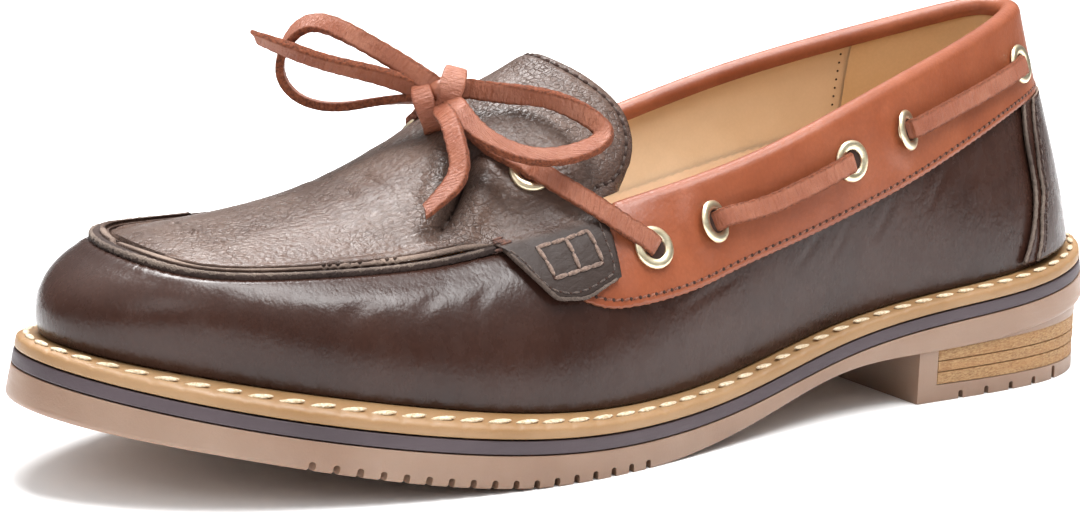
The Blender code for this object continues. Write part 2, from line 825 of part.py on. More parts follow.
def build_eyelet_holes(cutters):
    """One cutter for the holes through band, apron and upper."""
    bm = bmesh.new()
    for _name, surface, a, b, _wall in eyelet_places():
        normal = facing(surface, a, b)[0]
        made = bmesh.ops.create_cone(
            bm,
            cap_ends=True,
            segments=HOLE_SIDES,
            radius1=EYELET_BORE + HOLE_ROOM,
            radius2=EYELET_BORE + HOLE_ROOM,
            depth=HOLE_DEPTH,
        )["verts"]
        turn = Vector(normal).to_track_quat("Z", "Y").to_matrix()
        bmesh.ops.rotate(bm, verts=made, matrix=turn)
        bmesh.ops.translate(bm, verts=made, vec=surface(a, b) - normal)
    return add_object("eyelet_holes", bm, None, cutters)


def strap(name, route, normals, look, collection):
    """A flat thong along a route, its flat side square to the normals."""
    knots = range(len(route))
    path = natural_spline(knots, np.array(route))
    face = natural_spline(knots, np.array(normals))
    bm = bmesh.new()
    rows = []
    for at in np.linspace(0, len(route) - 1, STRAP_ROWS):
        along = path(at + 0.01) - path(at - 0.01)
        normal = face(at)
        across = np.cross(along, normal)
        across *= LACE_WIDTH / 2 / np.linalg.norm(across)
        thick = normal * LACE_DEPTH / 2 / np.linalg.norm(normal)
        middle = path(at)
        corners = [across - thick, across + thick, -across + thick, -across - thick]
        rows.append([middle + corner for corner in corners + corners[:1]])
    skin(bm, rows)
    bmesh.ops.remove_doubles(bm, verts=bm.verts, dist=MERGE)
    bmesh.ops.holes_fill(bm, edges=[edge for edge in bm.edges if edge.is_boundary])
    bmesh.ops.recalc_face_normals(bm, faces=bm.faces)
    return add_object(name, bm, look, collection)


def lace_over(surface, a, b, height):
    """A point of a lace over a surface, and the surface's normal there."""
    normal = facing(surface, a, b)[0]
    return surface(a, b) + normal * height, normal


def build_lace_bars(look, collection):
    """The stretches of lace that lie outside, from eyelet to eyelet."""
    sections = COLLAR_EYELETS["section"]
    heights = COLLAR_EYELETS["height"]
    over = BAND_WALL + FACET + EYELET_RISE + 4 * GAP + LACE_DEPTH / 2
    apron_q, apron_across_share = APRON_EYELET
    for sign, word in ((1, "outer"), (-1, "inner")):
        for start in (1, 3):
            stops = []
            for share in np.linspace(0, 1, BAR_STOPS):
                q = sections[start] + (sections[start + 1] - sections[start]) * share
                v = heights[start] + (heights[start + 1] - heights[start]) * share
                inward = min(max(min(share, 1 - share) / BAR_SLOPE - 1, 0.0), 1.0)
                at = q if sign > 0 else AROUND - q
                stops.append(lace_over(side, at, v, over - BAR_DIP * inward))
            strap(f"lace_{word}_{start + 1}", *zip(*stops), look, collection)

        stops = []
        for q, b, height in zip(SIDE_LACE["section"], SIDE_LACE["place"], SIDE_LACE["height"]):
            if q > THROAT:
                stops.append(lace_over(crown, q, b * sign, height))
            else:
                stops.append(lace_over(side, q if sign > 0 else AROUND - q, b, height))
        strap(f"lace_{word}_1", *zip(*stops), look, collection)

        stops = []
        for share, height in zip(KNOT_LACE["share"], KNOT_LACE["height"]):
            a = apron_q + (KNOT_SECTION - apron_q) * share
            b = sign * (apron_across_share + (KNOT_SIDE - apron_across_share) * share)
            stops.append(lace_over(crown, a, b, height))
        strap(f"lace_{word}_0", *zip(*stops), look, collection)


def build_cord(name, route, look, collection):
    """A free stretch of lace as a plain tube, through hand-placed points."""
    points = natural_spline(range(len(route)), np.array(route, float))
    reach = np.linalg.norm(np.diff(np.array(route, float), axis=0), axis=1).sum()
    count = max(int(reach / (5 * TUBE_RADIUS)) + 1, 4)
    curve = bpy.data.curves.new(name, "CURVE")
    curve.dimensions = "3D"
    line = curve.splines.new("POLY")
    line.points.add(count - 1)
    for i, at in enumerate(np.linspace(0, len(route) - 1, count)):
        line.points[i].co = (*place(points(at)), 1.0)
    curve.bevel_depth = TUBE_RADIUS / 1000
    curve.bevel_resolution = 2
    curve.use_fill_caps = True
    curve.materials.append(look)
    made = bpy.data.objects.new(name, curve)
    collection.objects.link(made)
    return made


def build_bow(look, collection):
    bm = bmesh.new()
    made = bmesh.ops.create_icosphere(bm, subdivisions=2, radius=1.0)["verts"]
    bmesh.ops.scale(bm, verts=made, vec=KNOT_SIZE)
    bmesh.ops.translate(bm, verts=made, vec=KNOT)
    add_object("lace_knot", bm, look, collection)
    for name, route in BOW.items():
        build_cord(name, route, look, collection)


def main():
    clear_scene()
    shoe = bpy.data.collections.new("slip_on_shoe")
    cutters = bpy.data.collections.new("cutters")
    for made in (shoe, cutters):
        bpy.context.scene.collection.children.link(made)
    brown = material("brown_leather", (0.060, 0.032, 0.028), 0.35)
    tan = material("tan_leather", (0.42, 0.13, 0.055), 0.45)
    lace = material("lace_leather", (0.40, 0.12, 0.06), 0.6)
    pebbled = material("pebbled_leather", (0.085, 0.060, 0.052), 0.5)
    rubber = material("gum_rubber", (0.46, 0.27, 0.16), 0.5)
    build_outsole(rubber, shoe, cutters)
    build_midsole(material("dark_midsole", (0.075, 0.050, 0.058), 0.7), shoe)
    build_welt(material("honey_welt", (0.52, 0.31, 0.11), 0.5), shoe)
    build_lifts(material("stacked_leather", (0.48, 0.27, 0.11), 0.7), shoe)
    build_insole(material("insole_leather", (0.50, 0.28, 0.11), 0.6), shoe)
    upper = build_upper(brown, shoe)
    apron = build_apron(pebbled, shoe)
    band = build_collar_band(tan, shoe)
    build_heel_strip(brown, shoe)
    holes = build_eyelet_holes(cutters)
    for made in (upper, apron, band):
        cut(made, holes)
    build_eyelets(material("pale_gold", (0.80, 0.62, 0.36), 0.25, 1.0), shoe)
    build_lace_bars(lace, shoe)
    build_bow(lace, shoe)


if __name__ == "__main__":
    main()
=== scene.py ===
import math

import bmesh
import bpy
import numpy as np
from mathutils import Matrix, Vector
from mathutils.bvhtree import BVHTree


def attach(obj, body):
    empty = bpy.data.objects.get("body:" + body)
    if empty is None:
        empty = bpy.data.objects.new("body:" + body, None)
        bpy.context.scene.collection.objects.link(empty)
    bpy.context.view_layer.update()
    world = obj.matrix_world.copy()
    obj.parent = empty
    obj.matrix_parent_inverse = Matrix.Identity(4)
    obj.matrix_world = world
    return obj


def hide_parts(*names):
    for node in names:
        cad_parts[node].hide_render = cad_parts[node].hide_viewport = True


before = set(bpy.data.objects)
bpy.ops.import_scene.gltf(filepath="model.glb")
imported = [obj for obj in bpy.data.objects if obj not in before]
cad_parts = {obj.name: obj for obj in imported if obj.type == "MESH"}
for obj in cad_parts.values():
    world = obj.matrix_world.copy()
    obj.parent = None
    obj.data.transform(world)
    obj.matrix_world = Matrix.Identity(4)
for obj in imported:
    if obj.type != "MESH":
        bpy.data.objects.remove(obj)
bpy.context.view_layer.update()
print("frame loaded:", len(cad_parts), "solids")

# Everything below is in millimetres from the back of the heel and the heel's middle line.
# Sections go round the shoe: 0 heel, 1 to 9 outer side, 10 toe, 11 to 19 inner side.

shoe = {
    "middle": (134.45, 4.60),  # where the frame's origin lies
    "inside": (130.0, 0.0, 25.0),
    "gap": 0.3,
    "wall": 1.8,  # leather and lining together
    "throat": 4.875,  # section where the apron lets go of the collar
    "tabFront": 5.63,
}


def table(names, *rows):
    return dict(zip(names.split(), np.array(rows, float).T))


def columnsOf(shape, names):
    return np.stack([shape[name] for name in names.split()], axis=1)


soleShape = table(
    "x outer inner ledgeOut ledgeIn rise",
    (0, 1.0, 1.0, 5.2, 5.2, 0.4),
    (12, 23.7, -22.0, 4.9, 4.9, 0.4),
    (40, 32.8, -30.5, 4.5, 4.3, 0.4),
    (80, 34.8, -30.0, 4.3, 4.0, 0.4),
    (120, 41.9, -31.0, 4.8, 4.2, 0.6),
    (160, 51.2, -38.0, 5.4, 4.6, 1.0),
    (190, 51.3, -42.5, 5.6, 5.0, 1.6),
    (220, 45.3, -41.1, 5.6, 5.2, 1.9),
    (245, 33.9, -31.5, 5.4, 5.2, 1.6),
    (262, 17.8, -18.4, 4.8, 4.8, 1.0),
    (268, -1.0, -1.0, 4.4, 4.4, 0.8),
)

soleProfile = table(
    "x top depth",
    (0, 31.2, 12.5),
    (30, 26.9, 12.5),
    (60, 24.4, 12.3),
    (90, 20.2, 9.6),
    (120, 14.0, 10.6),
    (150, 11.9, 12.4),
    (180, 13.5, 13.2),
    (210, 17.8, 12.7),
    (240, 23.5, 12.2),
    (268, 29.7, 13.0),
)

wallShape = table(
    "topX mid half topZ lowOut lowUp highOut highUp",
    (18.4, 0.0, 0.0, 86.0, -1.5, 16.0, 3.9, -18.0),
    (22.5, 0.0, 8.5, 85.4, -1.3, 16.0, 4.0, -18.0),
    (42.0, 0.0, 17.8, 80.3, 2.0, 17.0, 5.0, -18.0),
    (80.0, 0.0, 28.8, 70.1, 4.0, 15.0, 3.5, -15.0),
    (118.0, 0.0, 33.5, 58.6, 4.0, 14.0, 4.0, -13.0),
    (158.0, 0.0, 32.3, 50.2, 3.0, 13.0, 8.0, -5.0),
    (188.0, 0.0, 31.2, 44.9, 2.5, 12.0, 9.5, -2.0),
    (215.0, -0.5, 30.0, 44.1, 2.5, 10.0, 10.0, -1.0),
    (237.0, -0.8, 25.0, 44.9, 2.5, 9.0, 9.3, -1.0),
    (246.2, -1.0, 13.6, 46.4, 2.6, 8.0, 10.6, -1.7),
    (248.4, -1.0, 0.0, 47.0, 2.6, 7.0, 12.8, -2.4),
)

crownShape = table(  # middle line of the apron, from the toe back
    "x z fullness",
    (248.4, 47.0, 2.0),
    (246.4, 47.5, 2.0),
    (237.5, 49.3, 2.1),
    (216.0, 51.9, 2.2),
    (191.0, 59.5, 2.3),
    (166.0, 72.8, 2.5),
    (152.0, 82.0, 2.5),
)

tongueEnd = table(
    "across x y z",
    (0.0, 149.6, 0.0, 82.5),
    (0.2, 148.2, 5.2, 81.6),
    (0.4, 144.0, 10.6, 78.7),
    (0.6, 139.5, 15.8, 74.0),
    (0.78, 137.8, 20.6, 68.0),
    (0.9, 139.6, 24.4, 61.8),
    (1.0, 144.0, 27.3, 55.5),
)

tabEdge = table(
    "section low",
    (4.875, 0.61),
    (4.985, 0.575),
    (5.144, 0.536),
    (5.258, 0.542),
    (5.367, 0.568),
    (5.433, 0.629),
    (5.494, 0.696),
    (5.548, 0.771),
    (5.594, 0.858),
    (5.63, 0.985),
)


def naturalSpline(knots, values):
    knots, values = np.asarray(knots, float), np.asarray(values, float)
    steps = np.diff(knots)
    count = len(knots)
    system = np.eye(count)
    right = np.zeros_like(values)
    for i in range(1, count - 1):
        system[i, i - 1 : i + 2] = steps[i - 1], 2 * (steps[i - 1] + steps[i]), steps[i]
        rise = (values[i + 1] - values[i]) / steps[i] - (values[i] - values[i - 1]) / steps[i - 1]
        right[i] = 6 * rise
    bend = np.linalg.solve(system, right)

    def read(at):
        at = np.asarray(at, float)
        i = np.clip(np.searchsorted(knots, at) - 1, 0, count - 2)
        after = (at - knots[i]) / steps[i]
        step = steps[i]
        if values.ndim > 1:
            after, step = after[..., None], step[..., None]
        before = 1 - after
        bent = (before**3 - before) * bend[i] + (after**3 - after) * bend[i + 1]
        return before * values[i] + after * values[i + 1] + bent * step**2 / 6

    return read


def bothSides(outer, inner):
    return np.concatenate([outer, inner[-2:0:-1]])


def lengthsAlong(points):
    return np.concatenate([[0], np.cumsum(np.linalg.norm(np.diff(points, axis=0), axis=1))])


edgePoints = np.stack(
    [bothSides(soleShape["x"], soleShape["x"]), bothSides(soleShape["outer"], soleShape["inner"])],
    axis=1,
)
edgeChords = np.linalg.norm(np.diff(np.vstack([edgePoints, edgePoints[:1]]), axis=0), axis=1)
edgeKnots = np.concatenate([[0.0], np.cumsum(np.sqrt(edgeChords))])


def closedSpline(outer, inner=None):
    values = bothSides(outer, outer if inner is None else inner)
    wrapped = np.concatenate([values[-4:], values, values[:5]])
    turn = edgeKnots[-1]
    knots = np.concatenate([edgeKnots[-5:-1] - turn, edgeKnots[:-1], edgeKnots[:5] + turn])
    read = naturalSpline(knots, wrapped)
    return lambda q: read(np.interp(np.asarray(q, float) % 20, range(21), edgeKnots))


edgeAt = closedSpline(columnsOf(soleShape, "x outer"), columnsOf(soleShape, "x inner"))
ledgeAt = closedSpline(soleShape["ledgeOut"], soleShape["ledgeIn"])
riseAt = closedSpline(soleShape["rise"])
soleTop = naturalSpline(soleProfile["x"], soleProfile["top"])
soleDepth = naturalSpline(soleProfile["x"], soleProfile["depth"])
wallShape["outer"] = wallShape["mid"] + wallShape["half"]
wallShape["inner"] = wallShape["mid"] - wallShape["half"]
topLine = closedSpline(columnsOf(wallShape, "topX outer topZ"), columnsOf(wallShape, "topX inner topZ"))
pulls = {name: closedSpline(wallShape[name]) for name in ("lowOut", "lowUp", "highOut", "highUp")}
tabLow = naturalSpline(tabEdge["section"], tabEdge["low"])
crownLine = naturalSpline(range(len(crownShape["x"])), columnsOf(crownShape, "x z fullness"))
tongueHalf = columnsOf(tongueEnd, "x y z")
tongueTip = naturalSpline(
    np.concatenate([-tongueEnd["across"][:0:-1], tongueEnd["across"]]),
    np.concatenate([tongueHalf[:0:-1] * (1, -1, 1), tongueHalf]),
)


def unit(vectors):
    return vectors / np.maximum(np.linalg.norm(vectors, axis=-1, keepdims=True), 1e-9)


def outward(q):  # level direction out of the shoe
    along = edgeAt(q + 0.01) - edgeAt(q - 0.01)
    return unit(np.stack([-along[..., 1], along[..., 0], 0 * along[..., 0]], axis=-1))


def solePoint(q, inset, depth, lift=0.0):  # depth runs square to the sole's own slope
    q = np.asarray(q, float)
    spot = edgeAt(q) - outward(q)[..., :2] * np.asarray(inset, float)[..., None]
    x = spot[..., 0]
    slope = soleTop(x + 0.5) - soleTop(x - 0.5)
    length = np.hypot(1.0, slope)
    z = soleTop(x) + lift - depth / length
    return np.stack([x + depth * slope / length, spot[..., 1], np.maximum(z, 0.0)], axis=-1)


def side(q, v):  # outer face of vamp and quarters, 0 at the welt and 1 at the top line
    q, v = np.broadcast_arrays(np.asarray(q, float), np.asarray(v, float))
    out = outward(q)
    up = np.array([0.0, 0.0, 1.0])
    foot = solePoint(q, ledgeAt(q), 0.0, riseAt(q) + shoe["gap"])
    top = topLine(q)
    low = foot + out * pulls["lowOut"](q)[..., None] + up * pulls["lowUp"](q)[..., None]
    high = top + out * pulls["highOut"](q)[..., None] + up * pulls["highUp"](q)[..., None]
    v = v[..., None]
    w = 1 - v
    return w**3 * foot + 3 * w * w * v * low + 3 * w * v * v * high + v**3 * top


def crown(q, across):  # the apron ahead of the throat
    q, across = np.broadcast_arrays(np.asarray(q, float), np.asarray(across, float))
    outer, inner = topLine(q), topLine(20 - q)
    shape = crownLine(10 - q)
    edge = np.where((across > 0)[..., None], outer, inner)
    middle = np.stack([shape[..., 0], (outer[..., 1] + inner[..., 1]) / 2, shape[..., 1]], axis=-1)
    share = np.abs(across)
    bent = np.stack([share**2, share, share ** shape[..., 2]], axis=-1)
    return middle + (edge - middle) * bent


def tongue(back, across):  # the apron behind the throat, up to its free end
    back, across = np.broadcast_arrays(np.asarray(back, float), np.asarray(across, float))
    start = crown(shoe["throat"] + 0 * back, across * (1 - 0.05 * np.minimum(1.0, 4 * back)))
    return start + (tongueTip(across) - start) * back[..., None]


def facing(surface, a, b, step=0.02):  # unit normal, out of the shoe
    a, b = np.asarray(a, float), np.asarray(b, float)
    alongA = surface(a + step, b) - surface(a - step, b)
    alongB = surface(a, b + step) - surface(a, b - step)
    normal = unit(np.cross(alongB, alongA))
    away = ((surface(a, b) - shoe["inside"]) * normal).sum(-1, keepdims=True)
    return np.where(away < 0, -normal, normal)


def raised(surface, a, b, height):
    height = np.asarray(height, float)
    return surface(a, b) + facing(surface, a, b) * height[..., None]


def toFrame(points):  # millimetres from the heel to metres in the frame
    return (np.asarray(points, float) - (*shoe["middle"], 0.0)) / 1000


def onto(bm, points):  # moves a mesh to points in millimetres
    for vert, point in zip(bm.verts, toFrame(points)):
        vert.co = point


def fromMillimetres(bm):
    onto(bm, [vert.co[:] for vert in bm.verts])
    return bm


def smoothStep(low, high, value):
    t = np.clip((value - low) / (high - low), 0, 1)
    return t * t * (3 - 2 * t)


def hump(value, width, middle=0.0):
    return np.exp(-(((value - middle) / width) ** 2))


def onSide(q, sign):  # the same place on the outer side, 1, or the inner one, -1
    return q if sign > 0 else 20 - q


def creasesOn(surface, creases):
    return [([surface(a, b) for a, b in line], *rest) for line, *rest in creases]


def softCreases(points, normals, creases):
    # each crease: line through a few points, half width, depth, height of the ridges beside it
    shift = np.zeros(len(points))
    for line, width, depth, ridge in creases:
        read = naturalSpline(range(len(line)), np.array(line, float))
        path = read(np.linspace(0, len(line) - 1, 5 * len(line)))
        near = np.linalg.norm(points - path.mean(0), axis=1)
        reach = np.linalg.norm(path - path.mean(0), axis=1).max() + 6 * width
        chosen = np.flatnonzero(near < reach)
        best = np.full(len(chosen), 1e9)
        share = np.zeros(len(chosen))
        for i, (start, end) in enumerate(zip(path, path[1:])):
            run = end - start
            t = np.clip(((points[chosen] - start) @ run) / (run @ run), 0, 1)
            away = np.linalg.norm(points[chosen] - start - t[:, None] * run, axis=1)
            closer = away < best
            best[closer] = away[closer]
            share[closer] = (i + t[closer]) / (len(path) - 1)
        fade = np.sin(np.pi * np.clip(share, 0.02, 0.98)) ** 0.6
        shift[chosen] += fade * (ridge * hump(best, width, 2.0 * width) - depth * hump(best, width))
    return points + normals * shift[:, None]


def objectFrom(bm, name, collection):
    mesh = bpy.data.meshes.new(name)
    bm.to_mesh(mesh)
    bm.free()
    made = bpy.data.objects.new(name, mesh)
    collection.objects.link(made)
    return made


# camera, floor and lights

camera = {
    "target": (147.87, 0.0, 35.68),
    "around": 59.22,  # degrees from the toe towards the outer side
    "above": 11.63,
    "roll": 0.89,
    "distance": 619.97,
    "lens": 92.8,
}
lights = {  # round and above as for the camera, distance and size in metres, watts
    "keyNear": (120, 66, 1.3, 0.55, 13.0),
    "keyTop": (160, 88, 1.3, 0.6, 14.0),
    "keyFar": (-97, 60, 1.3, 0.6, 20.0),
    "frontLeft": (25, 34, 1.3, 0.7, 2.5),
}
lit = (0.0, 0.0, 0.04)  # the middle of the shoe, which the lights look at
sky = {"To Min": 0.2, "To Max": 1.2, "From Min": 0.25, "From Max": 0.85}  # white, brightest overhead
floor = {"radius": 6.0, "Base Color": (0.94, 0.945, 0.95, 1), "Roughness": 0.45}


def lookFrom(name, data, around, above, middle, distance, roll=0.0):
    a, e = math.radians(around), math.radians(above)
    back = Vector((math.cos(a) * math.cos(e), math.sin(a) * math.cos(e), math.sin(e)))
    turn = back.to_track_quat("Z", "Y").to_matrix() @ Matrix.Rotation(math.radians(roll), 3, "Z")
    made = bpy.data.objects.new(name, data)
    bpy.context.scene.collection.objects.link(made)
    made.matrix_world = Matrix.Translation(Vector(middle) + back * distance) @ turn.to_4x4()
    return made


def addCamera():
    data = bpy.data.cameras.new("camera")
    data.lens = camera["lens"]
    data.clip_start = 0.01
    place = (toFrame(camera["target"]), camera["distance"] / 1000)
    made = lookFrom("camera", data, camera["around"], camera["above"], *place, camera["roll"])
    bpy.context.scene.camera = made
    bpy.context.scene.view_settings.view_transform = "Standard"


def addLights():
    for name, (around, above, distance, size, power) in lights.items():
        data = bpy.data.lights.new(name, "AREA")
        data.shape = "DISK"
        data.size = size
        data.energy = power
        lookFrom(name, data, around, above, lit, distance)
    world = bpy.data.worlds.new("studio")
    world.use_nodes = True
    tree = world.node_tree
    way = tree.nodes.new("ShaderNodeTexCoord").outputs["Generated"]
    split = tree.nodes.new("ShaderNodeSeparateXYZ")
    tree.links.new(way, split.inputs[0])
    ramp = tree.nodes.new("ShaderNodeMapRange")
    ramp.interpolation_type = "SMOOTHSTEP"
    tree.links.new(split.outputs["Z"], ramp.inputs["Value"])
    for socket, value in sky.items():
        ramp.inputs[socket].default_value = value
    tree.nodes["Background"].inputs["Color"].default_value = (1.0, 1.0, 1.0, 1.0)
    tree.links.new(ramp.outputs["Result"], tree.nodes["Background"].inputs["Strength"])
    bpy.context.scene.world = world


def addFloor():
    bm = bmesh.new()
    bmesh.ops.create_circle(bm, cap_ends=True, segments=64, radius=floor["radius"])
    made = objectFrom(bm, "floor", bpy.context.scene.collection)
    paint = bpy.data.materials.new("paleFloor")
    paint.use_nodes = True
    for socket in ("Base Color", "Roughness"):
        paint.node_tree.nodes["Principled BSDF"].inputs[socket].default_value = floor[socket]
    made.data.materials.append(paint)


addCamera()
addLights()
addFloor()
print("camera, floor and lights ready")


# looks, all of them made of nodes


def tone(red, green, blue):
    values = np.array([red, green, blue]) / 255
    linear = np.where(values <= 0.04045, values / 12.92, ((values + 0.055) / 1.055) ** 2.4)
    return (*linear.tolist(), 1.0)


def darker(colour, share):
    return (*[share * c for c in colour[:3]], 1)


class Look:
    def __init__(self, name, roughness=0.5, metallic=0.0):
        self.material = bpy.data.materials.new(name)
        self.material.use_nodes = True
        self.tree = self.material.node_tree
        self.shader = self.tree.nodes["Principled BSDF"]
        self.set(Roughness=roughness, Metallic=metallic)

    def set(self, **values):
        for socket, value in values.items():
            self.shader.inputs[socket.replace("_", " ")].default_value = value

    def fill(self, socket, value):
        if isinstance(value, bpy.types.NodeSocket):
            self.tree.links.new(value, socket)
        else:
            socket.default_value = value

    def add(self, kind, values, **settings):
        made = self.tree.nodes.new("ShaderNode" + kind)
        for key, value in settings.items():
            setattr(made, key, value)
        for socket, value in values.items():
            self.fill(made.inputs[socket], value)
        return made

    def join(self, output, socket):
        self.tree.links.new(output, self.shader.inputs[socket])

    def coordinates(self, stretch=(1, 1, 1), source="Object"):
        where = self.add("TexCoord", {}).outputs[source]
        if stretch == (1, 1, 1):
            return where
        return self.add("Mapping", {"Vector": where, "Scale": stretch}).outputs[0]

    def noise(self, where, scale, detail=4.0, roughness=0.55, distortion=0.0):
        sockets = {"Vector": where, "Scale": scale, "Detail": detail, "Roughness": roughness}
        return self.add("TexNoise", {**sockets, "Distortion": distortion}).outputs["Fac"]

    def cells(self, where, scale, feature="F1"):
        return self.add("TexVoronoi", {"Vector": where, "Scale": scale}, feature=feature).outputs["Distance"]

    def share(self, name):
        return self.add("Attribute", {}, attribute_name=name).outputs["Fac"]

    def ramp(self, value, low, high, start=0.0, end=1.0):
        sockets = {0: value, 1: low, 2: high, 3: start, 4: end}
        return self.add("MapRange", sockets, clamp=True).outputs[0]

    def maths(self, operation, a, b=0.0, c=0.0):
        return self.add("Math", {0: a, 1: b, 2: c}, operation=operation).outputs[0]

    def mix(self, share, a, b):
        return self.add("Mix", {0: share, 6: a, 7: b}, data_type="RGBA").outputs[2]

    def bump(self, height, distance, under=None, strength=1.0):
        made = self.add("Bump", {"Height": height, "Distance": distance, "Strength": strength})
        if under is not None:
            self.tree.links.new(under, made.inputs["Normal"])
        return made.outputs[0]


leatherScales = {
    "drift": 500.0,
    "pebbles": 1000.0,
    "fine": 2300.0,
    "cracks": 800.0,
    "creases": 260.0,
    "worn": 70.0,
    "cloud": 45.0,
    "blotch": 12.0,
}


def leatherLook(
    name, dark, light, roughness, pebble, pebbleDepth, wrinkle, coat=0.0, streak=(1, 1, 1), pores=0.3,
    cracks=0.0,
):
    # pebble is the size of the grain, pebbleDepth and wrinkle are in millimetres
    scales = leatherScales
    look = Look(name)
    plain = look.coordinates()
    drift = look.add("TexNoise", {"Vector": plain, "Scale": scales["drift"], "Detail": 1.0})
    shift = look.add("VectorMath", {0: drift.outputs["Color"], "Scale": 0.0006}, operation="SCALE")
    spots = {0: look.coordinates(streak), 1: shift.outputs[0]}
    warped = look.add("VectorMath", spots, operation="ADD").outputs[0]
    cells = look.cells(warped, scales["pebbles"] / pebble)
    fine = look.cells(warped, scales["fine"] / pebble)
    creased = look.noise(look.coordinates(streak), scales["creases"], 7.0, 0.62, 0.1)
    cloud = look.noise(plain, scales["cloud"], 3.0)
    blotch = look.noise(plain, scales["blotch"], 2.0)
    deep = darker(dark, 0.45)
    colour = look.mix(look.ramp(cloud, 0.35, 0.65), dark, light)
    colour = look.mix(look.ramp(cells, 0.15, 0.75, 0.0, pores), colour, deep)
    colour = look.mix(look.ramp(blotch, 0.3, 0.75, 0.0, 0.25), colour, light)
    height = look.maths("SUBTRACT", 1.0, look.maths("MULTIPLY_ADD", fine, 0.35, cells))
    shine = look.ramp(creased, 0.3, 0.7, roughness - 0.07, roughness + 0.10)
    if cracks:
        lines = look.cells(warped, scales["cracks"] / pebble, "DISTANCE_TO_EDGE")
        lines = look.ramp(lines, 0.0, 0.11, 1.0, 0.0)
        worn = look.ramp(look.noise(plain, scales["worn"], 2.0), 0.42, 0.6)
        # the tab attribute is 1 on the pressed, darker tabs and also carries painted shade, up to 0.8, along
        # the middle of the apron's deep creases
        flat = look.share("tab")  # 1 on the pressed, darker tabs
        shown = look.maths("SUBTRACT", 1.0, look.maths("MULTIPLY", flat, 0.85))
        lines = look.maths("MULTIPLY", look.maths("MULTIPLY", lines, worn), shown)
        colour = look.mix(look.maths("MULTIPLY", lines, 0.5), colour, deep)
        # darkens the tabs, and paints shade into the middle of the apron's deep creases
        colour = look.mix(look.maths("MULTIPLY", flat, 0.9), colour, darker(dark, 0.3))
        height = look.maths("MULTIPLY_ADD", lines, -cracks, look.maths("MULTIPLY", height, shown))
        shine = look.maths("MULTIPLY_ADD", flat, 0.25, shine)
    look.join(colour, "Base Color")
    look.join(shine, "Roughness")
    small = look.bump(height, pebbleDepth / 1000)
    look.join(look.bump(creased, wrinkle / 1000, small), "Normal")
    look.set(Coat_Weight=coat, Coat_Roughness=0.25, Specular_IOR_Level=0.28)
    return look.material


def thongLook(name, smoothColour, lightColour, rawColour):
    # a cut leather thong: grain on its two faces, loose fibres on its cut sides
    look = Look(name)
    plain = look.coordinates()
    raw = look.share("raw")
    fibre = look.noise(plain, 1500.0, 5.0, 0.7)
    wrinkles = look.noise(look.coordinates((0.28, 1.2, 1), "UV"), 1.0, 5.0, 0.6, 0.4)
    cloud = look.noise(plain, 90.0, 3.0)
    face = look.mix(look.ramp(cloud, 0.3, 0.7), smoothColour, lightColour)
    face = look.mix(look.ramp(wrinkles, 0.32, 0.5, 0.65, 0.0), face, rawColour)
    fluff = look.mix(look.ramp(fibre, 0.38, 0.6), darker(rawColour, 0.4), rawColour)
    fluff = look.mix(look.ramp(look.cells(plain, 800.0), 0.0, 0.35, 0.5, 0.0), fluff, lightColour)
    look.join(look.mix(raw, face, fluff), "Base Color")
    look.join(look.ramp(raw, 0.0, 1.0, 0.46, 0.9), "Roughness")
    small = look.bump(look.cells(plain, 1400.0), 0.00008)
    look.join(look.bump(look.mix(raw, wrinkles, fibre), 0.0006, small), "Normal")
    look.set(Specular_IOR_Level=0.4)
    return look.material


def threadLook(name, colour, shade):
    look = Look(name, 0.75)
    twist = look.noise(look.coordinates(), 1600.0, 3.0, 0.6)
    look.join(look.mix(look.ramp(twist, 0.35, 0.65), shade, colour), "Base Color")
    look.join(look.bump(twist, 0.0002), "Normal")
    look.set(Sheen_Weight=0.2)
    return look.material


def rubberLook(name, base, warm, roughness, speck=0.0, translucent=0.0):
    look = Look(name)
    plain = look.coordinates()
    cloud = look.noise(plain, 30.0, 4.0)
    grain = look.noise(plain, 1800.0, 4.0, 0.6)
    marks = look.noise(look.coordinates((6, 6, 60)), 20.0, 5.0, 0.65)
    colour = look.mix(look.ramp(cloud, 0.35, 0.65), base, warm)
    colour = look.mix(look.ramp(grain, 0.55, 0.75, 0.0, speck), colour, darker(base, 0.5))
    look.join(look.mix(look.ramp(marks, 0.56, 0.72, 0.0, 0.16), colour, warm), "Base Color")
    look.join(look.ramp(marks, 0.35, 0.7, roughness, roughness + 0.14), "Roughness")
    look.join(look.bump(grain, 0.00007, look.bump(cloud, 0.0003), 0.8), "Normal")
    if translucent:
        look.set(Subsurface_Weight=translucent, Subsurface_Radius=(0.9, 0.45, 0.25), Subsurface_Scale=0.003)
    return look.material


def stackLook(name):
    # sanded leather board: short flecks along each layer, darker pits
    look = Look(name, 0.78)
    flecks = look.noise(look.coordinates((1, 1, 3.2)), 900.0, 6.0, 0.72)
    pits = look.cells(look.coordinates((1, 1, 2.2)), 520.0)
    cloud = look.noise(look.coordinates((1, 1, 8)), 60.0, 3.0)
    colour = look.mix(look.ramp(flecks, 0.36, 0.62), tone(120, 82, 48), tone(176, 142, 100))
    colour = look.mix(look.ramp(cloud, 0.35, 0.7, 0.0, 0.45), colour, tone(162, 116, 72))
    look.join(look.mix(look.ramp(pits, 0.0, 0.22, 0.55, 0.0), colour, tone(86, 52, 26)), "Base Color")
    look.join(look.bump(flecks, 0.00025), "Normal")
    return look.material


def metalLook(name):
    look = Look(name, 0.24, 1.0)
    plain = look.coordinates()
    scuffs = look.noise(look.coordinates((1, 1, 6)), 300.0, 3.0)
    look.join(look.mix(look.ramp(scuffs, 0.4, 0.7), tone(224, 208, 172), tone(238, 227, 200)), "Base Color")
    look.join(look.ramp(look.noise(plain, 260.0, 2.0), 0.35, 0.7, 0.3, 0.4), "Roughness")
    return look.material


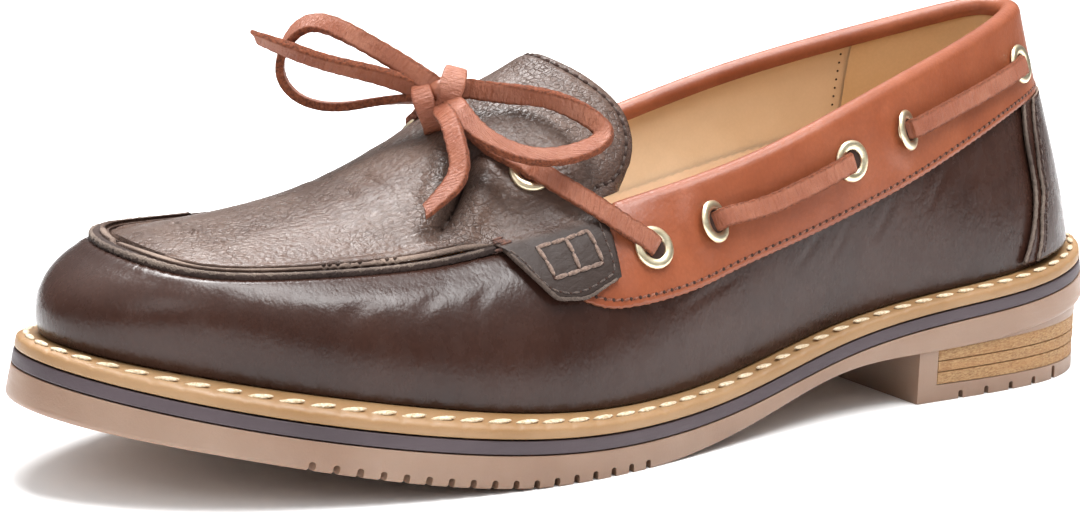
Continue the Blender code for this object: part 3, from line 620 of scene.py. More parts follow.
leathers = {  # dark, light, roughness, grain, its depth, wrinkles, coat, streak, pores, cracks
    "chocolate": ((46, 27, 21), (58, 37, 30), 0.25, 0.95, 0.03, 0.12, 0.0, (1, 1, 0.75), 0.2),
    "pebbled": ((74, 55, 47), (99, 79, 69), 0.29, 1.1, 0.14, 0.5, 0.0, (0.8, 1.15, 1), 0.35, 0.6),
    "cognac": ((124, 62, 36), (143, 79, 51), 0.38, 0.8, 0.025, 0.25, 0.12, (1, 1, 0.8), 0.15),
    "lining": ((204, 175, 141), (214, 187, 155), 0.6, 0.7, 0.006, 0.08, 0.0, (1, 1, 1), 0.05),
    "liningLight": ((206, 174, 142), (216, 186, 156), 0.65, 0.7, 0.006, 0.06, 0.0, (1, 1, 1), 0.05),
    "liningHeel": ((197, 161, 117), (207, 173, 131), 0.6, 0.7, 0.008, 0.1, 0.0, (1, 1, 1), 0.08),
    "cutEdge": ((84, 68, 60), (140, 122, 110), 0.85, 0.6, 0.12, 0.5),
    "fibre": ((78, 66, 60), (134, 119, 108), 0.9, 0.5, 0.2, 0.8),
    # a raw edge coloured dark as painted shade, for the vamp's lip that lies in shade under the apron's edge
    "deepEdge": ((36, 25, 22), (70, 54, 48), 0.8, 0.6, 0.1, 0.5),
    "cutTan": ((112, 62, 36), (150, 96, 64), 0.85, 0.5, 0.12, 0.5),
}
threads = {  # colour, shade
    "darkThread": ((84, 66, 56), (40, 28, 24)),
    "creamThread": ((226, 210, 184), (180, 156, 120)),
    "paneThread": ((134, 110, 96), (78, 58, 48)),
    "tanThread": ((140, 78, 48), (84, 40, 22)),
    "tackThread": ((102, 60, 42), (54, 30, 22)),
}
rubbers = {  # name, colour, warm marks, roughness, specks, light let through
    # near-black look for needle holes and the discs inside the eyelets: painted shade inside holes
    "hole": ("needleHole", (40, 22, 14), (52, 28, 18), 0.9),
    "welt": ("honeyWelt", (136, 101, 62), (153, 120, 84), 0.42, 0.12, 0.1),
    "midsole": ("darkMidsole", (57, 45, 50), (71, 58, 63), 0.5, 0.1),
    "gum": ("gumRubber", (130, 101, 82), (144, 118, 100), 0.4, 0.06, 0.2),
}
looks = {
    "lace": thongLook("laceLeather", tone(128, 68, 45), tone(154, 98, 75), tone(128, 66, 38)),
    "stack": stackLook("stackedLeather"),
    "gold": metalLook("paleGold"),
}
for name, (dark, light, *rest) in leathers.items():
    looks[name] = leatherLook(name + "Leather", tone(*dark), tone(*light), *rest)
for name, (colour, shade) in threads.items():
    looks[name] = threadLook(name, tone(*colour), tone(*shade))
for name, (rubber, base, warm, *rest) in rubbers.items():
    looks[name] = rubberLook(rubber, tone(*base), tone(*warm), *rest)
print("looks ready:", len(looks))


# making pieces

parts = bpy.data.collections.new("slipOnShoe")
bpy.context.scene.collection.children.link(parts)


def gridMesh(columns, rows, shape, closed=False):
    # a grid carried onto a surface: shape takes two arrays from 0 to 1 and gives millimetres
    bm = bmesh.new()
    bmesh.ops.create_grid(bm, x_segments=columns, y_segments=rows, size=0.5)
    bm.verts.index_update()
    flat = np.array([vert.co[:2] for vert in bm.verts]) + 0.5
    order = np.lexsort((flat[:, 0].round(6), flat[:, 1].round(6)))
    points = shape(flat[:, 0], flat[:, 1])
    lattice = points[order].reshape(rows + 1, columns + 1, 3)
    alongV = np.linalg.norm(np.diff(lattice, axis=0), axis=2)
    u = np.tile(lengthsAlong(lattice[(rows + 1) // 2]), rows + 1)
    v = np.concatenate([np.zeros((1, columns + 1)), np.cumsum(alongV, axis=0)]).ravel()
    measured = np.zeros_like(flat)
    measured[order] = np.stack([u, v], axis=1)
    layer = bm.loops.layers.uv.new("surface")
    for face in bm.faces:
        for loop in face.loops:
            loop[layer].uv = measured[loop.vert.index]
    onto(bm, points)
    if closed:
        bmesh.ops.remove_doubles(bm, verts=bm.verts, dist=0.00002)
    return bm


def turnOut(bm, away=1.0):
    # open skins: the faces are turned to look away from the inside of the shoe, or into it
    centre = Vector(toFrame(shoe["inside"]))
    bm.normal_update()
    votes = sum(1 if (f.calc_center_median() - centre).dot(f.normal) * away > 0 else -1 for f in bm.faces)
    if votes < 0:
        bmesh.ops.reverse_faces(bm, faces=bm.faces)
    return bm


def closeEnds(bm):
    ends = [edge for edge in bm.edges if edge.is_boundary]
    if ends:
        bmesh.ops.holes_fill(bm, edges=ends)
    bmesh.ops.recalc_face_normals(bm, faces=bm.faces)
    return bm


def joinMeshes(bm, *others):
    for other in others:
        mesh = bpy.data.meshes.new("joined")
        other.to_mesh(mesh)
        other.free()
        bm.from_mesh(mesh)
        bpy.data.meshes.remove(mesh)
    return bm


def addPiece(name, bm, look, slot=None, replaced=(), wall=0.0, outer=False, sharp=None, even=True, rim=None):
    made = objectFrom(bm, name, parts)
    made.data.shade_smooth()
    if sharp:
        made.data.set_sharp_from_angle(angle=math.radians(sharp))
    for key in filter(None, (look, rim)):
        made.data.materials.append(looks[key])
    if wall:
        shell = made.modifiers.new("wall", "SOLIDIFY")
        shell.thickness = wall / 1000
        shell.offset = 1.0 if outer else -1.0
        shell.use_even_offset = even
        shell.material_offset_rim = 1 if rim else 0
    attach(made, "root")
    if replaced:
        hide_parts(*replaced)
    return made


fine = np.linspace(0, 20, 2001)
lapLength = lengthsAlong(side(fine, 0.4))


def sectionAt(share):  # even steps round the shoe
    return np.interp(share, lapLength / lapLength[-1], fine)


# vamp and quarters
quarters = {
    "columns": 560,
    "rows": 60,
    "skin": 0.9,
    "seamGroove": 0.9,  # how far the edge dives beside the moccasin seam
    "sewn": (5.5, 5.8),  # sections where that seam begins
    "swell": 0.35,
    "pucker": 0.07,
    "puckered": (7.6, 9.0),
    "puckerPitch": 1.6,
    "creases": (  # (section, height) along each, half width, depth, ridge
        (((6.4, 0.55), (6.25, 0.66), (6.05, 0.74)), 1.3, 0.16, 0.05),
        (((6.95, 0.50), (6.8, 0.62), (6.62, 0.72)), 1.5, 0.12, 0.04),
        (((5.95, 0.50), (5.9, 0.62), (5.75, 0.72)), 1.2, 0.14, 0.05),
        (((4.45, 0.40), (4.25, 0.46), (4.02, 0.50)), 1.0, 0.10, 0.04),
        (((3.62, 0.40), (3.50, 0.47), (3.42, 0.53)), 0.9, 0.12, 0.05),
        (((3.36, 0.34), (3.26, 0.42), (3.20, 0.52)), 0.8, 0.12, 0.05),
        (((3.02, 0.36), (2.92, 0.44), (2.84, 0.54)), 0.9, 0.14, 0.05),
        (((2.60, 0.40), (2.50, 0.48), (2.40, 0.58)), 1.0, 0.12, 0.05),
        (((2.22, 0.44), (2.14, 0.52), (2.05, 0.62)), 0.9, 0.12, 0.04),
        (((1.90, 0.40), (1.84, 0.50), (1.80, 0.62)), 0.8, 0.08, 0.03),
        (((13.6, 0.55), (13.75, 0.66), (13.95, 0.74)), 1.3, 0.16, 0.05),
        (((14.1, 0.50), (14.2, 0.62), (14.3, 0.72)), 1.2, 0.14, 0.05),
        (((16.4, 0.40), (16.5, 0.47), (16.58, 0.53)), 0.9, 0.12, 0.05),
        (((16.98, 0.36), (17.08, 0.44), (17.16, 0.54)), 0.9, 0.14, 0.05),
        (((17.5, 0.40), (17.6, 0.50), (17.7, 0.58)), 1.0, 0.12, 0.04),
    ),
}


def quartersShape(u, v):
    q = sectionAt(u)
    points = side(q, v)
    normals = facing(side, q, v)
    front = np.minimum(q, 20 - q)
    below = np.linalg.norm(points - topLine(q), axis=1)  # distance under the top line
    seam = quarters["swell"] * hump(below, 1.8, 3.4) - quarters["seamGroove"] * hump(below, 1.1)
    ripple = np.sin(u * lapLength[-1] * 2 * np.pi / quarters["puckerPitch"] + 2 * np.sin(q * 5))
    pucker = quarters["pucker"] * ripple * hump(below, 3.5, 2) * smoothStep(*quarters["puckered"], front)
    points = softCreases(points, normals, creasesOn(side, quarters["creases"]))
    return points + normals * (seam * smoothStep(*quarters["sewn"], front) + pucker)[:, None]


bm = turnOut(gridMesh(quarters["columns"], quarters["rows"], quartersShape, closed=True))
addPiece("vampQuarters", bm, "chocolate", "brown_leather", ["upper"], quarters["skin"])
print("vamp and quarters")

# lining, seen inside the collar

lining = {
    "columns": 300,
    "rows": 36,
    "depth": 1.8,
    "skin": 0.8,
    "top": 0.985,
    "ahead": 0.12,  # how much lower it ends ahead of the throat
    "vaultDepth": 7.0,
    "vaultFront": 9.8,
}


def liningWall(u, v):
    q = sectionAt(u)
    hidden = lining["ahead"] * smoothStep(4.95, 5.4, np.minimum(q, 20 - q))
    return raised(side, q, v * (lining["top"] - hidden), -lining["depth"])


def liningVault(u, v):
    q = shoe["throat"] + (lining["vaultFront"] - shoe["throat"]) * v
    return raised(crown, q, 0.995 * (1 - 2 * u), -lining["vaultDepth"])


wall = gridMesh(lining["columns"], lining["rows"], liningWall, closed=True)
for name, bm in (("liningWall", wall), ("liningVault", gridMesh(60, 60, liningVault))):
    addPiece(name, turnOut(bm, -1.0), "lining", wall=lining["skin"])
print("lining")

# sweeping a section along a line


def roundedOutline(corners, share=0.3, steps=3, radii=None):
    # a closed outline with its corners cut round: by a share of each side, or by radii in millimetres
    corners = np.asarray(corners, float)
    made = []
    for i, corner in enumerate(corners):
        sides = (corners[i - 1] - corner, corners[(i + 1) % len(corners)] - corner)
        if radii is None:
            before, after = (corner + way * share for way in sides)
        else:
            before, after = (
                corner + way * min(radii[i] / max(np.linalg.norm(way), 1e-6), 0.5) for way in sides
            )
        for t in np.linspace(0, 1, steps + 1):
            made.append((1 - t) ** 2 * before + 2 * t * (1 - t) * corner + t * t * after)
    return np.array(made)


def along(outline, share):  # the outline's corners at whole steps round it
    return outline[np.round(share * len(outline)).astype(int) % len(outline)]


def sweep(outline, line, across, up, rows):
    # line, across and up: functions of the share along; the outline's two columns go across and up
    def shape(u, v):
        at = along(outline, u)
        return line(v) + across(v) * at[:, :1] + up(v) * at[:, 1:]

    return closeEnds(gridMesh(len(outline), rows, shape, closed=True))


def lineThrough(points):
    # a smooth line with even steps: gives place and direction at a share of its length
    points = np.array(points, float)
    read = naturalSpline(range(len(points)), points)
    fineSteps = np.linspace(0, len(points) - 1, 40 * len(points))
    lengths = lengthsAlong(read(fineSteps))

    def place(share):
        return read(np.interp(np.asarray(share, float) * lengths[-1], lengths, fineSteps))

    def direction(share):
        return unit(place(np.minimum(share + 0.004, 1)) - place(np.maximum(share - 0.004, 0)))

    return place, direction, lengths[-1]


# the lace

lace = {
    "width": 4.3,
    "depth": 1.9,
    "step": 0.55,
    "ripple": 0.10,
    "ripplePitch": 1.7,
    "slant": 0.7,  # how far the free ends are cut askew
    "taper": 0.7,  # how much narrower they get, over the last millimetres below
    "tip": 9.0,
    "knot": (175.0, 3.5, 75.4),
}
# free stretches from the knot out: the route that the solids follow, then how far the leather itself
# lies from it, and the turn of its flat side in degrees, where 0 stands square to the plane of the
# loop and 90 lies in it
bow = {
    "loopFront": {
        "route": (
            (177.5, 0.0, 77.8), (182.0, -6.6, 81.8), (189.0, -12.0, 86.5), (194.0, -16.0, 89.0),
            (198.0, -19.0, 88.5), (201.0, -21.0, 84.8), (202.0, -22.0, 80.0), (200.5, -21.0, 75.5),
            (197.0, -18.0, 71.8), (191.0, -13.0, 70.6), (184.0, -8.4, 72.0), (178.1, -0.5, 74.2),
        ),
        "turn": (88, 85, 80, 66, 45, 25, 10, 5, 0, 0, 8, 20),
        "shift": (
            (1.1, 1.8, 0.5), (1.0, 1.6, 0.4), (0.5, 0.8, 0.2), (0, 0, -0.2), (-0.5, 0.3, -0.6),
            (-0.9, 0.5, -0.4), (-0.8, 0.4, 0), (0, 0, 0), (0, 0, 0), (0, 0, 0.3), (0, 0, 0.2),
            (0, 0, -0.7),
        ),
        "plane": (0.66, 0.75, 0.05),
        "farEnd": "knot",
        "replaced": "lace_loop_front",
    },
    "endFront": {
        "route": (
            (180.5, 2.1, 76.4), (187.0, -2.5, 78.9), (194.5, -9.0, 81.0), (200.5, -13.5, 83.0),
            (205.0, -17.0, 85.2), (209.0, -20.0, 87.3),
        ),
        "turn": (-45, -38, -30, -26, -28, -34),
        "shift": (
            (-1.3, -2.2, -0.6), (-1.1, -1.9, -0.5), (-0.7, -1.2, -0.5), (-0.2, -0.4, -0.2), (0, 0, -0.2),
            (-0.8, 0.5, -0.7),
        ),
        "plane": (0.6, 0.7, 0.35),
        "farEnd": "bare",
        "replaced": "lace_end_front",
    },
    "loopBack": {
        "route": (
            (169.5, 7.0, 77.0), (164.0, 13.0, 77.2), (158.0, 19.0, 76.0), (152.5, 25.0, 73.2),
            (149.5, 29.0, 69.5), (151.0, 31.5, 66.8), (156.0, 32.0, 65.6), (163.0, 32.0, 65.6),
            (170.0, 29.5, 67.4), (175.0, 23.0, 70.4), (176.0, 13.5, 73.4),
        ),
        "turn": (50, 35, 14, 28, 62, 86, 88, 82, 80, 92, 100),
        "shift": (
            (0, 0, -1.0), (0, 0, -1.7), (0.2, -0.1, -1.1), (0.4, -0.3, -0.9), (0.6, -0.4, -0.4),
            (1.0, -0.6, 0.3), (0.2, 0, 0.2), (0, 0, -0.8), (0.4, -0.2, -1.9), (0.9, -0.5, -1.5),
            (0, 0, -0.8),
        ),
        "plane": (0.35, 0.55, 0.75),
        "farEnd": "knot",
        "replaced": "lace_loop_back",
    },
    "endBack": {
        "route": (
            (180.5, 8.5, 73.0), (182.0, 15.0, 70.8), (184.0, 21.0, 66.6), (186.5, 25.0, 61.6),
            (193.0, 27.5, 55.8),
        ),
        "turn": (85, 85, 80, 75, 70),
        "shift": (
            (-2.4, 1.4, -1.0), (-2.1, 1.2, -0.2), (-2.4, 1.4, -0.2), (-2.5, 1.5, -0.7),
            (-1.2, 0.8, -1.4),
        ),
        "plane": (0.55, 0.75, 0.3),
        "farEnd": "bare",
        "replaced": "lace_end_back",
    },
}


def thongOutline():
    # rounded at its corners, with points between them for the ripples of its two faces
    half, thick = lace["width"] / 2, lace["depth"] / 2
    outline = roundedOutline([(half, -thick), (half, thick), (-half, thick), (-half, -thick)], 0.16, 2)
    under = np.array([(0.0, -thick * 1.03), (half * 0.5, -thick * 1.02)])
    over = np.array([(half * 0.5, thick * 1.02), (0.0, thick * 1.03), (-half * 0.5, thick * 1.02)])
    last = np.array([(-half * 0.5, -thick * 1.02)])
    return np.vstack([under, outline[:6], over, outline[6:], last])


def thong(line, direction, length, acrossAt, taper=0.0):
    # a flat cut thong: its two faces are grain and flesh, its narrow sides are raw
    rows = max(int(length / lace["step"]), 6)
    outline = thongOutline()

    def shape(u, v):
        way = direction(v)
        across = acrossAt(v)
        across = unit(across - way * (across * way).sum(-1, keepdims=True))
        up = np.cross(across, way)
        at = along(outline, u)
        ripple = lace["ripple"] * np.sin(v * length * 2 * np.pi / lace["ripplePitch"] + 3 * at[:, 0])
        tip = np.clip((v - 1) * length / lace["tip"] + 1, 0, 1)
        slant = way * (lace["slant"] * taper * at[:, 0] * tip**2)[:, None]
        narrow = 1 - taper * tip * (at[:, 0] > 0)
        wide = at[:, 0] * narrow + 0.06 * np.sin(v * length * 2.1)
        high = at[:, 1] * (1 - 0.6 * taper * tip**2) + 0.3 * ripple * np.sign(at[:, 1])
        return line(v) + slant + across * wide[:, None] + up * high[:, None]

    bm = gridMesh(len(outline), rows, shape, closed=True)
    raw = bm.verts.layers.float.new("raw")
    bm.verts.index_update()
    # every row repeats the outline, so the narrow sides are found by their place round it
    layer = bm.loops.layers.uv.active
    place = lengthsAlong(np.vstack([outline, outline[:1]]))
    rawAt = np.append(np.abs(outline[:, 0]) > lace["width"] * 0.44, False)
    for face in bm.faces:
        for loop in face.loops:
            i = int(np.argmin(np.abs(place - loop[layer].uv.x)))
            loop.vert[raw] = 1.0 if rawAt[i] else 0.0
    return closeEnds(bm)


def strandOf(row):
    # centre line, direction, length and the way across the flat of one strand of the bow
    line, direction, length = lineThrough(np.array(row["route"]) + row["shift"])
    plane = unit(np.array(row["plane"]))
    last = len(row["turn"]) - 1
    turns = naturalSpline(range(last + 1), np.radians(row["turn"]))

    def acrossAt(v):
        way = direction(v)
        beside = unit(np.cross(way, plane))
        flat = unit(np.cross(beside, way))
        angle = turns(v * last)[:, None]
        return flat * np.cos(angle) - beside * np.sin(angle)

    return line, direction, length, acrossAt


def intoKnot(row, share):
    # a short hidden piece that carries a strand from its end on into the knot
    line, direction, length, acrossAt = strandOf(row)
    end, way = line(share), direction(share)
    way = way if share > 0.5 else -way
    inside = np.array(lace["knot"]) - end
    stub = [end - way * 0.6, end + way * 0.8, end + way * 1.0 + inside * 0.45, end + inside * 0.9]
    across = acrossAt(np.array([share]))
    return thong(*lineThrough(stub), lambda v: np.repeat(across, len(v), axis=0))


def addBow():
    for name, row in bow.items():
        line, direction, length, acrossAt = strandOf(row)
        bm = thong(line, direction, length, acrossAt, lace["taper"] if row["farEnd"] == "bare" else 0.0)
        made = addPiece(name, bm, "lace", "lace_leather", [row["replaced"]], sharp=50)
        path = [tuple(point) for point in toFrame(line(np.linspace(0, 1, 30)))]
        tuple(path[0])


addBow()
print("bow")

# apron, tongue and tabs
apron = {
    "columns": 380,
    "tabRows": 14,
    "edgeRows": 16,
    "innerRows": 26,
    "edgeReach": 6.0,  # how far in from the seam the rows lie close together
    "lift": 0.78,
    "settle": 1.7,  # how far it lies down on the foot inside its seam
    "thickness": 1.25,
    "fanCentre": 7.5,  # section whose middle the rows of the toe run to
    "nearLip": 1.0,  # rise of the sewn edge, on the outer side and round the rest
    "farLip": 2.3,
    "ridge": 0.25,
    "grooveDepth": 0.8,
    "fan": (7.0, 8.6),  # sections between which the rows turn into a fan
    "stitchDip": 0.42,
    "edgeDip": 1.3,
    "knit": 4.5,  # reach of the patch in the middle of the toe's fan
    "creases": (
        (((5.36, 0.41), (5.51, 0.55), (5.66, 0.667), (5.81, 0.762), (5.98, 0.86)), 2.3, 4.6, 1.3),
        (((5.50, 0.30), (5.54, 0.44), (5.50, 0.60)), 1.3, 0.45, 0.20),
        (((5.95, 0.55), (5.98, 0.70), (5.90, 0.88)), 1.6, 0.30, 0.12),
        (((5.30, 0.35), (5.26, 0.50), (5.30, 0.64)), 1.2, 0.35, 0.15),
        (((5.45, 0.66), (5.40, 0.78), (5.44, 0.90)), 1.1, 0.30, 0.12),
        (((6.30, 0.50), (6.35, 0.30), (6.32, 0.10)), 1.4, 0.22, 0.08),
        (((6.10, 0.40), (6.12, 0.20), (6.10, 0.02)), 1.5, 0.28, 0.10),
        (((6.55, 0.60), (6.62, 0.42), (6.62, 0.22)), 1.3, 0.16, 0.06),
        (((5.60, -0.42), (5.66, -0.60), (5.70, -0.76), (5.66, -0.93)), 1.7, 0.80, 0.25),
        (((5.95, -0.55), (5.98, -0.70), (5.90, -0.88)), 1.6, 0.30, 0.12),
        (((5.30, -0.35), (5.26, -0.50), (5.30, -0.64)), 1.2, 0.35, 0.15),
        (((6.22, -0.50), (6.26, -0.30), (6.22, -0.10)), 1.4, 0.22, 0.08),
    ),
    "tongueCreases": (  # share back from the throat, share across
        (((0.10, 0.30), (0.30, 0.42), (0.52, 0.60)), 1.2, 0.28, 0.12),
        (((0.10, 0.46), (0.26, 0.56), (0.42, 0.72)), 1.0, 0.24, 0.10),
        (((0.22, 0.22), (0.42, 0.34), (0.62, 0.50)), 1.0, 0.22, 0.08),
        (((0.10, -0.30), (0.30, -0.42), (0.52, -0.60)), 1.2, 0.28, 0.12),
        (((0.22, -0.05), (0.44, 0.02), (0.62, 0.10)), 1.2, 0.18, 0.08),
    ),
}


def crownAt(x, y):
    # the crown's place and section under a point given from above
    low = np.full_like(x, 3.9)
    high = np.full_like(x, 10.0)

    def shareAcross(q):
        outer, inner = topLine(q)[..., 1], topLine(20 - q)[..., 1]
        half = np.maximum((outer - inner) / 2, 1e-6)
        return np.clip((y - (outer + inner) / 2) / half, -1, 1)

    for _ in range(34):
        q = (low + high) / 2
        tooFar = crown(q, shareAcross(q))[..., 0] > x
        high = np.where(tooFar, q, high)
        low = np.where(tooFar, low, q)
    q = (low + high) / 2
    return crown(q, shareAcross(q))


seamSteps = np.linspace(shoe["throat"], 10, 801)
seamLength = lengthsAlong(topLine(seamSteps))


def seamShare(q):
    return np.interp(q, seamSteps, seamLength) / seamLength[-1] / 2


def seamSection(share):
    # even steps along the outline from the outer throat round the toe to the inner throat
    half = 1 - np.abs(2 * share - 1)
    q = np.interp(half * seamLength[-1], seamLength, seamSteps)
    return np.where(share > 0.5, 20 - q, q)


def tabLowEdge(front):
    smooth = tabLow(np.clip(front, shoe["throat"], shoe["tabFront"]))
    return np.where(front < shoe["tabFront"], np.minimum(smooth, 1.0), 1.0)


apronRows = apron["tabRows"] + apron["edgeRows"] + apron["innerRows"]


def farSide(q):  # 0 on the outer side, 1 round the toe and beyond
    return smoothStep(10.0, 12.3, q)


def lipRise(q):
    return apron["nearLip"] + (apron["farLip"] - apron["nearLip"]) * farSide(q)


def rowPlace(row, half):
    # distance in from the seam for the rows ahead of the tab rows
    n, m = apron["edgeRows"], apron["innerRows"]
    k = row - apron["tabRows"]
    near = np.clip(k / n, 0, 1) ** 1.25 * np.minimum(apron["edgeReach"], 0.42 * half)
    return near + np.clip((k - n) / m, 0, 1) * (half - near)


def apronShape(u, v):
    q = seamSection(u)
    front = np.minimum(q, 20 - q)
    row = np.round(v * apronRows)
    edge = topLine(q)
    half = np.abs(edge[:, 1] - crown(front, 0)[:, 1])
    fan = smoothStep(*apron["fan"], front)
    centre = apron["fanCentre"]
    spine = crown(np.minimum(front, centre + 0.08 * np.maximum(front - centre, 0)), 0)
    reach = np.where(fan > 0, np.linalg.norm((edge - spine)[:, :2], axis=1), half)
    span = np.where(front < apron["fan"][0], half, reach)
    inset = np.clip(rowPlace(row, span), 0, span)
    share = np.clip(inset / span, 0, 1)
    straight = edge[:, :2] + (spine - edge)[:, :2] * share[:, None]
    curved = crown(front, np.where(q > 10, -1.0, 1.0) * (1 - share))[:, :2]
    plan = curved + (straight - curved) * fan[:, None]
    ahead = crownAt(plan[:, 0], plan[:, 1])
    ahead[:, :2] = plan
    # the tab comes down over the side, from the seam to its own edge
    down = np.clip(1 - row / apron["tabRows"], 0, 1)
    flap = side(q, 1 - down * (1 - tabLowEdge(front)))
    points = np.where((row < apron["tabRows"])[:, None], flap, ahead)
    far = farSide(q)
    rise = lipRise(q) * (1 - smoothStep(1.9 - 0.5 * far, 3.7 - 1.0 * far, inset))
    rise += apron["ridge"] * hump(inset, 0.5, 1.75) - apron["grooveDepth"] * hump(inset, 0.42, 0.85)
    points[:, 2] += smoothStep(shoe["tabFront"] - 0.02, shoe["tabFront"] + 0.28, front) * rise
    return points


def tongueShape(u, v):
    q = np.array([shoe["throat"]])
    half = abs(topLine(q)[0, 1] - crown(q, 0)[0, 1])
    rows = np.arange(apron["tabRows"], apronRows + 1)
    shares = 1 - rowPlace(rows, np.full(len(rows), half)) / half
    both = np.concatenate([shares, -shares[-2::-1]])
    return tongue(v, both[np.round(u * (len(both) - 1)).astype(int)])

tongueSeam = table(  # share back from the throat, share across
    "back across",
    (0.910, 0.0),
    (0.905, 0.23),
    (0.895, 0.385),
    (0.905, 0.51),
    (0.915, 0.62),
    (0.915, 0.74),
    (0.895, 0.825),
    (0.855, 0.885),
    (0.790, 0.925),
    (0.650, 0.95),
    (0.450, 0.955),
    (0.150, 0.955),
)


def tongueSeamLine(count):
    half = columnsOf(tongueSeam, "back across")
    spots = np.concatenate([half[:0:-1] * (1, -1), half])
    read = naturalSpline(range(len(spots)), spots)
    return read(np.linspace(0, len(spots) - 1, count)).T


def distanceTo(points, line):
    reach = np.full(len(points), 1e9)
    for spot in line:
        reach = np.minimum(reach, np.linalg.norm(points - spot, axis=1))
    return reach


def meshPoints(bm):
    bm.verts.index_update()
    bm.normal_update()
    points = np.array([vert.co[:] for vert in bm.verts]) * 1000 + (*shoe["middle"], 0.0)
    return points, np.array([vert.normal[:] for vert in bm.verts])


def soften(bm, verts, times):
    for _ in range(times):
        bmesh.ops.smooth_vert(bm, verts=verts, factor=0.5, use_axis_x=True, use_axis_y=True, use_axis_z=True)


def aroundHub(items, hub, reach):
    middles = [item if isinstance(item, bmesh.types.BMVert) else item.verts[0] for item in items]
    return [item for item, at in zip(items, middles) if (at.co - hub).length < reach * apron["knit"] / 1000]


def knitHub(bm, hub):
    # the rows of the toe's fan crowd together at its middle, so that part is cut out and closed again
    bmesh.ops.delete(bm, geom=aroundHub(bm.verts, hub, 1.0), context="VERTS")
    rim = aroundHub([edge for edge in bm.edges if edge.is_boundary], hub, 1.6)
    patch = bmesh.ops.holes_fill(bm, edges=rim)["faces"]
    made = bmesh.ops.triangulate(bm, faces=patch)
    bmesh.ops.subdivide_edges(bm, edges=made["edges"], cuts=3)
    bmesh.ops.triangulate(bm, faces=[face for face in bm.faces if len(face.verts) > 4])


def buildApron():
    bm = gridMesh(apron["columns"], apronRows, apronShape)
    joinMeshes(bm, gridMesh(2 * (apron["edgeRows"] + apron["innerRows"]), 30, tongueShape))
    bmesh.ops.remove_doubles(bm, verts=bm.verts, dist=0.00004)
    hub = Vector(toFrame(crown(apron["fanCentre"] + 0.1, 0.0)))
    knitHub(bm, hub)
    bmesh.ops.recalc_face_normals(bm, faces=bm.faces)
    turnOut(bm)
    points, normals = meshPoints(bm)
    q = np.interp(points[:, 0], topLine(seamSteps)[:, 0], seamSteps)
    seamEdge = topLine(np.where(points[:, 1] < 0, 20 - q, q))
    bend = np.linalg.norm(points - seamEdge, axis=1)
    close = (bend < 4.5) & (q < shoe["tabFront"] - 0.05)
    soften(bm, [vert for vert, near in zip(bm.verts, close) if near and not vert.is_boundary], 10)
    flat, normals = meshPoints(bm)
    creases = creasesOn(crown, apron["creases"]) + creasesOn(tongue, apron["tongueCreases"])
    points = softCreases(flat, normals, creases)
    # painted shade: the deeper a crease, the darker its middle is coloured, through the tab attribute
    creaseShade = np.clip(((flat - points) * normals).sum(1) / 4.0 - 0.15, 0, 0.8)
    sewn = distanceTo(points, tongue(*tongueSeamLine(300)))
    free = distanceTo(points, tongue(np.ones(200), np.linspace(-1, 1, 200)))
    dips = apron["stitchDip"] * hump(sewn, 0.75) + apron["edgeDip"] * hump(free, 1.8)
    inside = np.abs(points[:, 1]) < np.abs(seamEdge[:, 1])
    settled = apron["settle"] * smoothStep(-3.0, 4.5, np.where(inside, bend, -bend))
    onto(bm, points + normals * (apron["lift"] - settled - dips)[:, None])
    # 1 on the tabs outside the seam, or the painted crease shade where that is larger
    tab = bm.verts.layers.float.new("tab")
    flap = np.maximum(smoothStep(0.5, 3.0, np.where(inside, 0.0, bend)), creaseShade)
    for vert, value in zip(bm.verts, flap):
        vert[tab] = value
    soften(bm, aroundHub(bm.verts, hub, 2.5), 12)
    return bm


sheet = {"wall": apron["thickness"], "outer": True, "even": False, "rim": "cutEdge"}
addPiece("apronTongue", buildApron(), "pebbled", "pebbled_leather", ["apron_tongue"], **sheet)
print("apron")

# the vamp's own edge, sewn under the apron's lip

vampLip = {"from": 5.66, "steps": 460, "inside": 2.2, "outside": 0.3, "low": -0.4, "under": 0.05}
fibres = {"pitch": 0.35, "sides": 8, "tab": [0.3, 0.4, 0.38, 0.3], "strip": [0.4, 0.46, 0.44, 0.36]}


def seamFrame(q):
    # place on the seam, the way in across it and the way up
    way = unit(topLine(q + 0.01) - topLine(q - 0.01))
    across = unit(np.cross(way, (0.0, 0.0, 1.0)))
    return topLine(q), across, unit(np.cross(across, way))


def buildVampLip():
    low, high = -vampLip["inside"], vampLip["outside"]
    outline = roundedOutline([(high, 0.0), (high, 1.0), (low, 1.0), (low, 0.0)], 0.2, 3)
    start = seamShare(vampLip["from"])

    def sections(v):
        return seamSection(start + (1 - 2 * start) * v)

    def line(v):
        wave = 0.10 * np.sin(v * 300) + 0.06 * np.sin(v * 811 + 1)
        place, across, up = seamFrame(sections(v))
        return place + across * wave[:, None] + up * vampLip["low"]

    def tall(v):
        q = sections(v)
        return seamFrame(q)[2] * (lipRise(q) - vampLip["under"] - vampLip["low"])[:, None]

    return sweep(outline, line, lambda v: seamFrame(sections(v))[1], tall, vampLip["steps"])


def rawBead(points, outs, radius):
    # an uneven roll of loose fibres along a cut edge, radius as numbers along it
    line, direction, length = lineThrough(points)
    outAt = naturalSpline(range(len(outs)), np.array(outs))
    angles = np.linspace(0, 2 * np.pi, fibres["sides"] + 1)[:-1]
    stops = np.linspace(0, 1, len(radius))

    def swell(v):
        at = v * length
        rough = 1 + 0.12 * np.sin(at * 2.3) + 0.1 * np.sin(at * 5.1 + 2) + 0.08 * np.sin(at * 9.7)
        return (np.interp(v, stops, radius) * rough)[:, None]

    def outWay(v):
        out = outAt(v * (len(outs) - 1))
        way = direction(v)
        return unit(out - way * (out * way).sum(-1, keepdims=True))

    def across(v):
        return outWay(v) * swell(v)

    def up(v):
        return np.cross(outWay(v), direction(v)) * swell(v) * 1.1

    circle = np.stack([np.cos(angles), np.sin(angles)], axis=1)
    return sweep(circle, line, across, up, int(length / fibres["pitch"]))


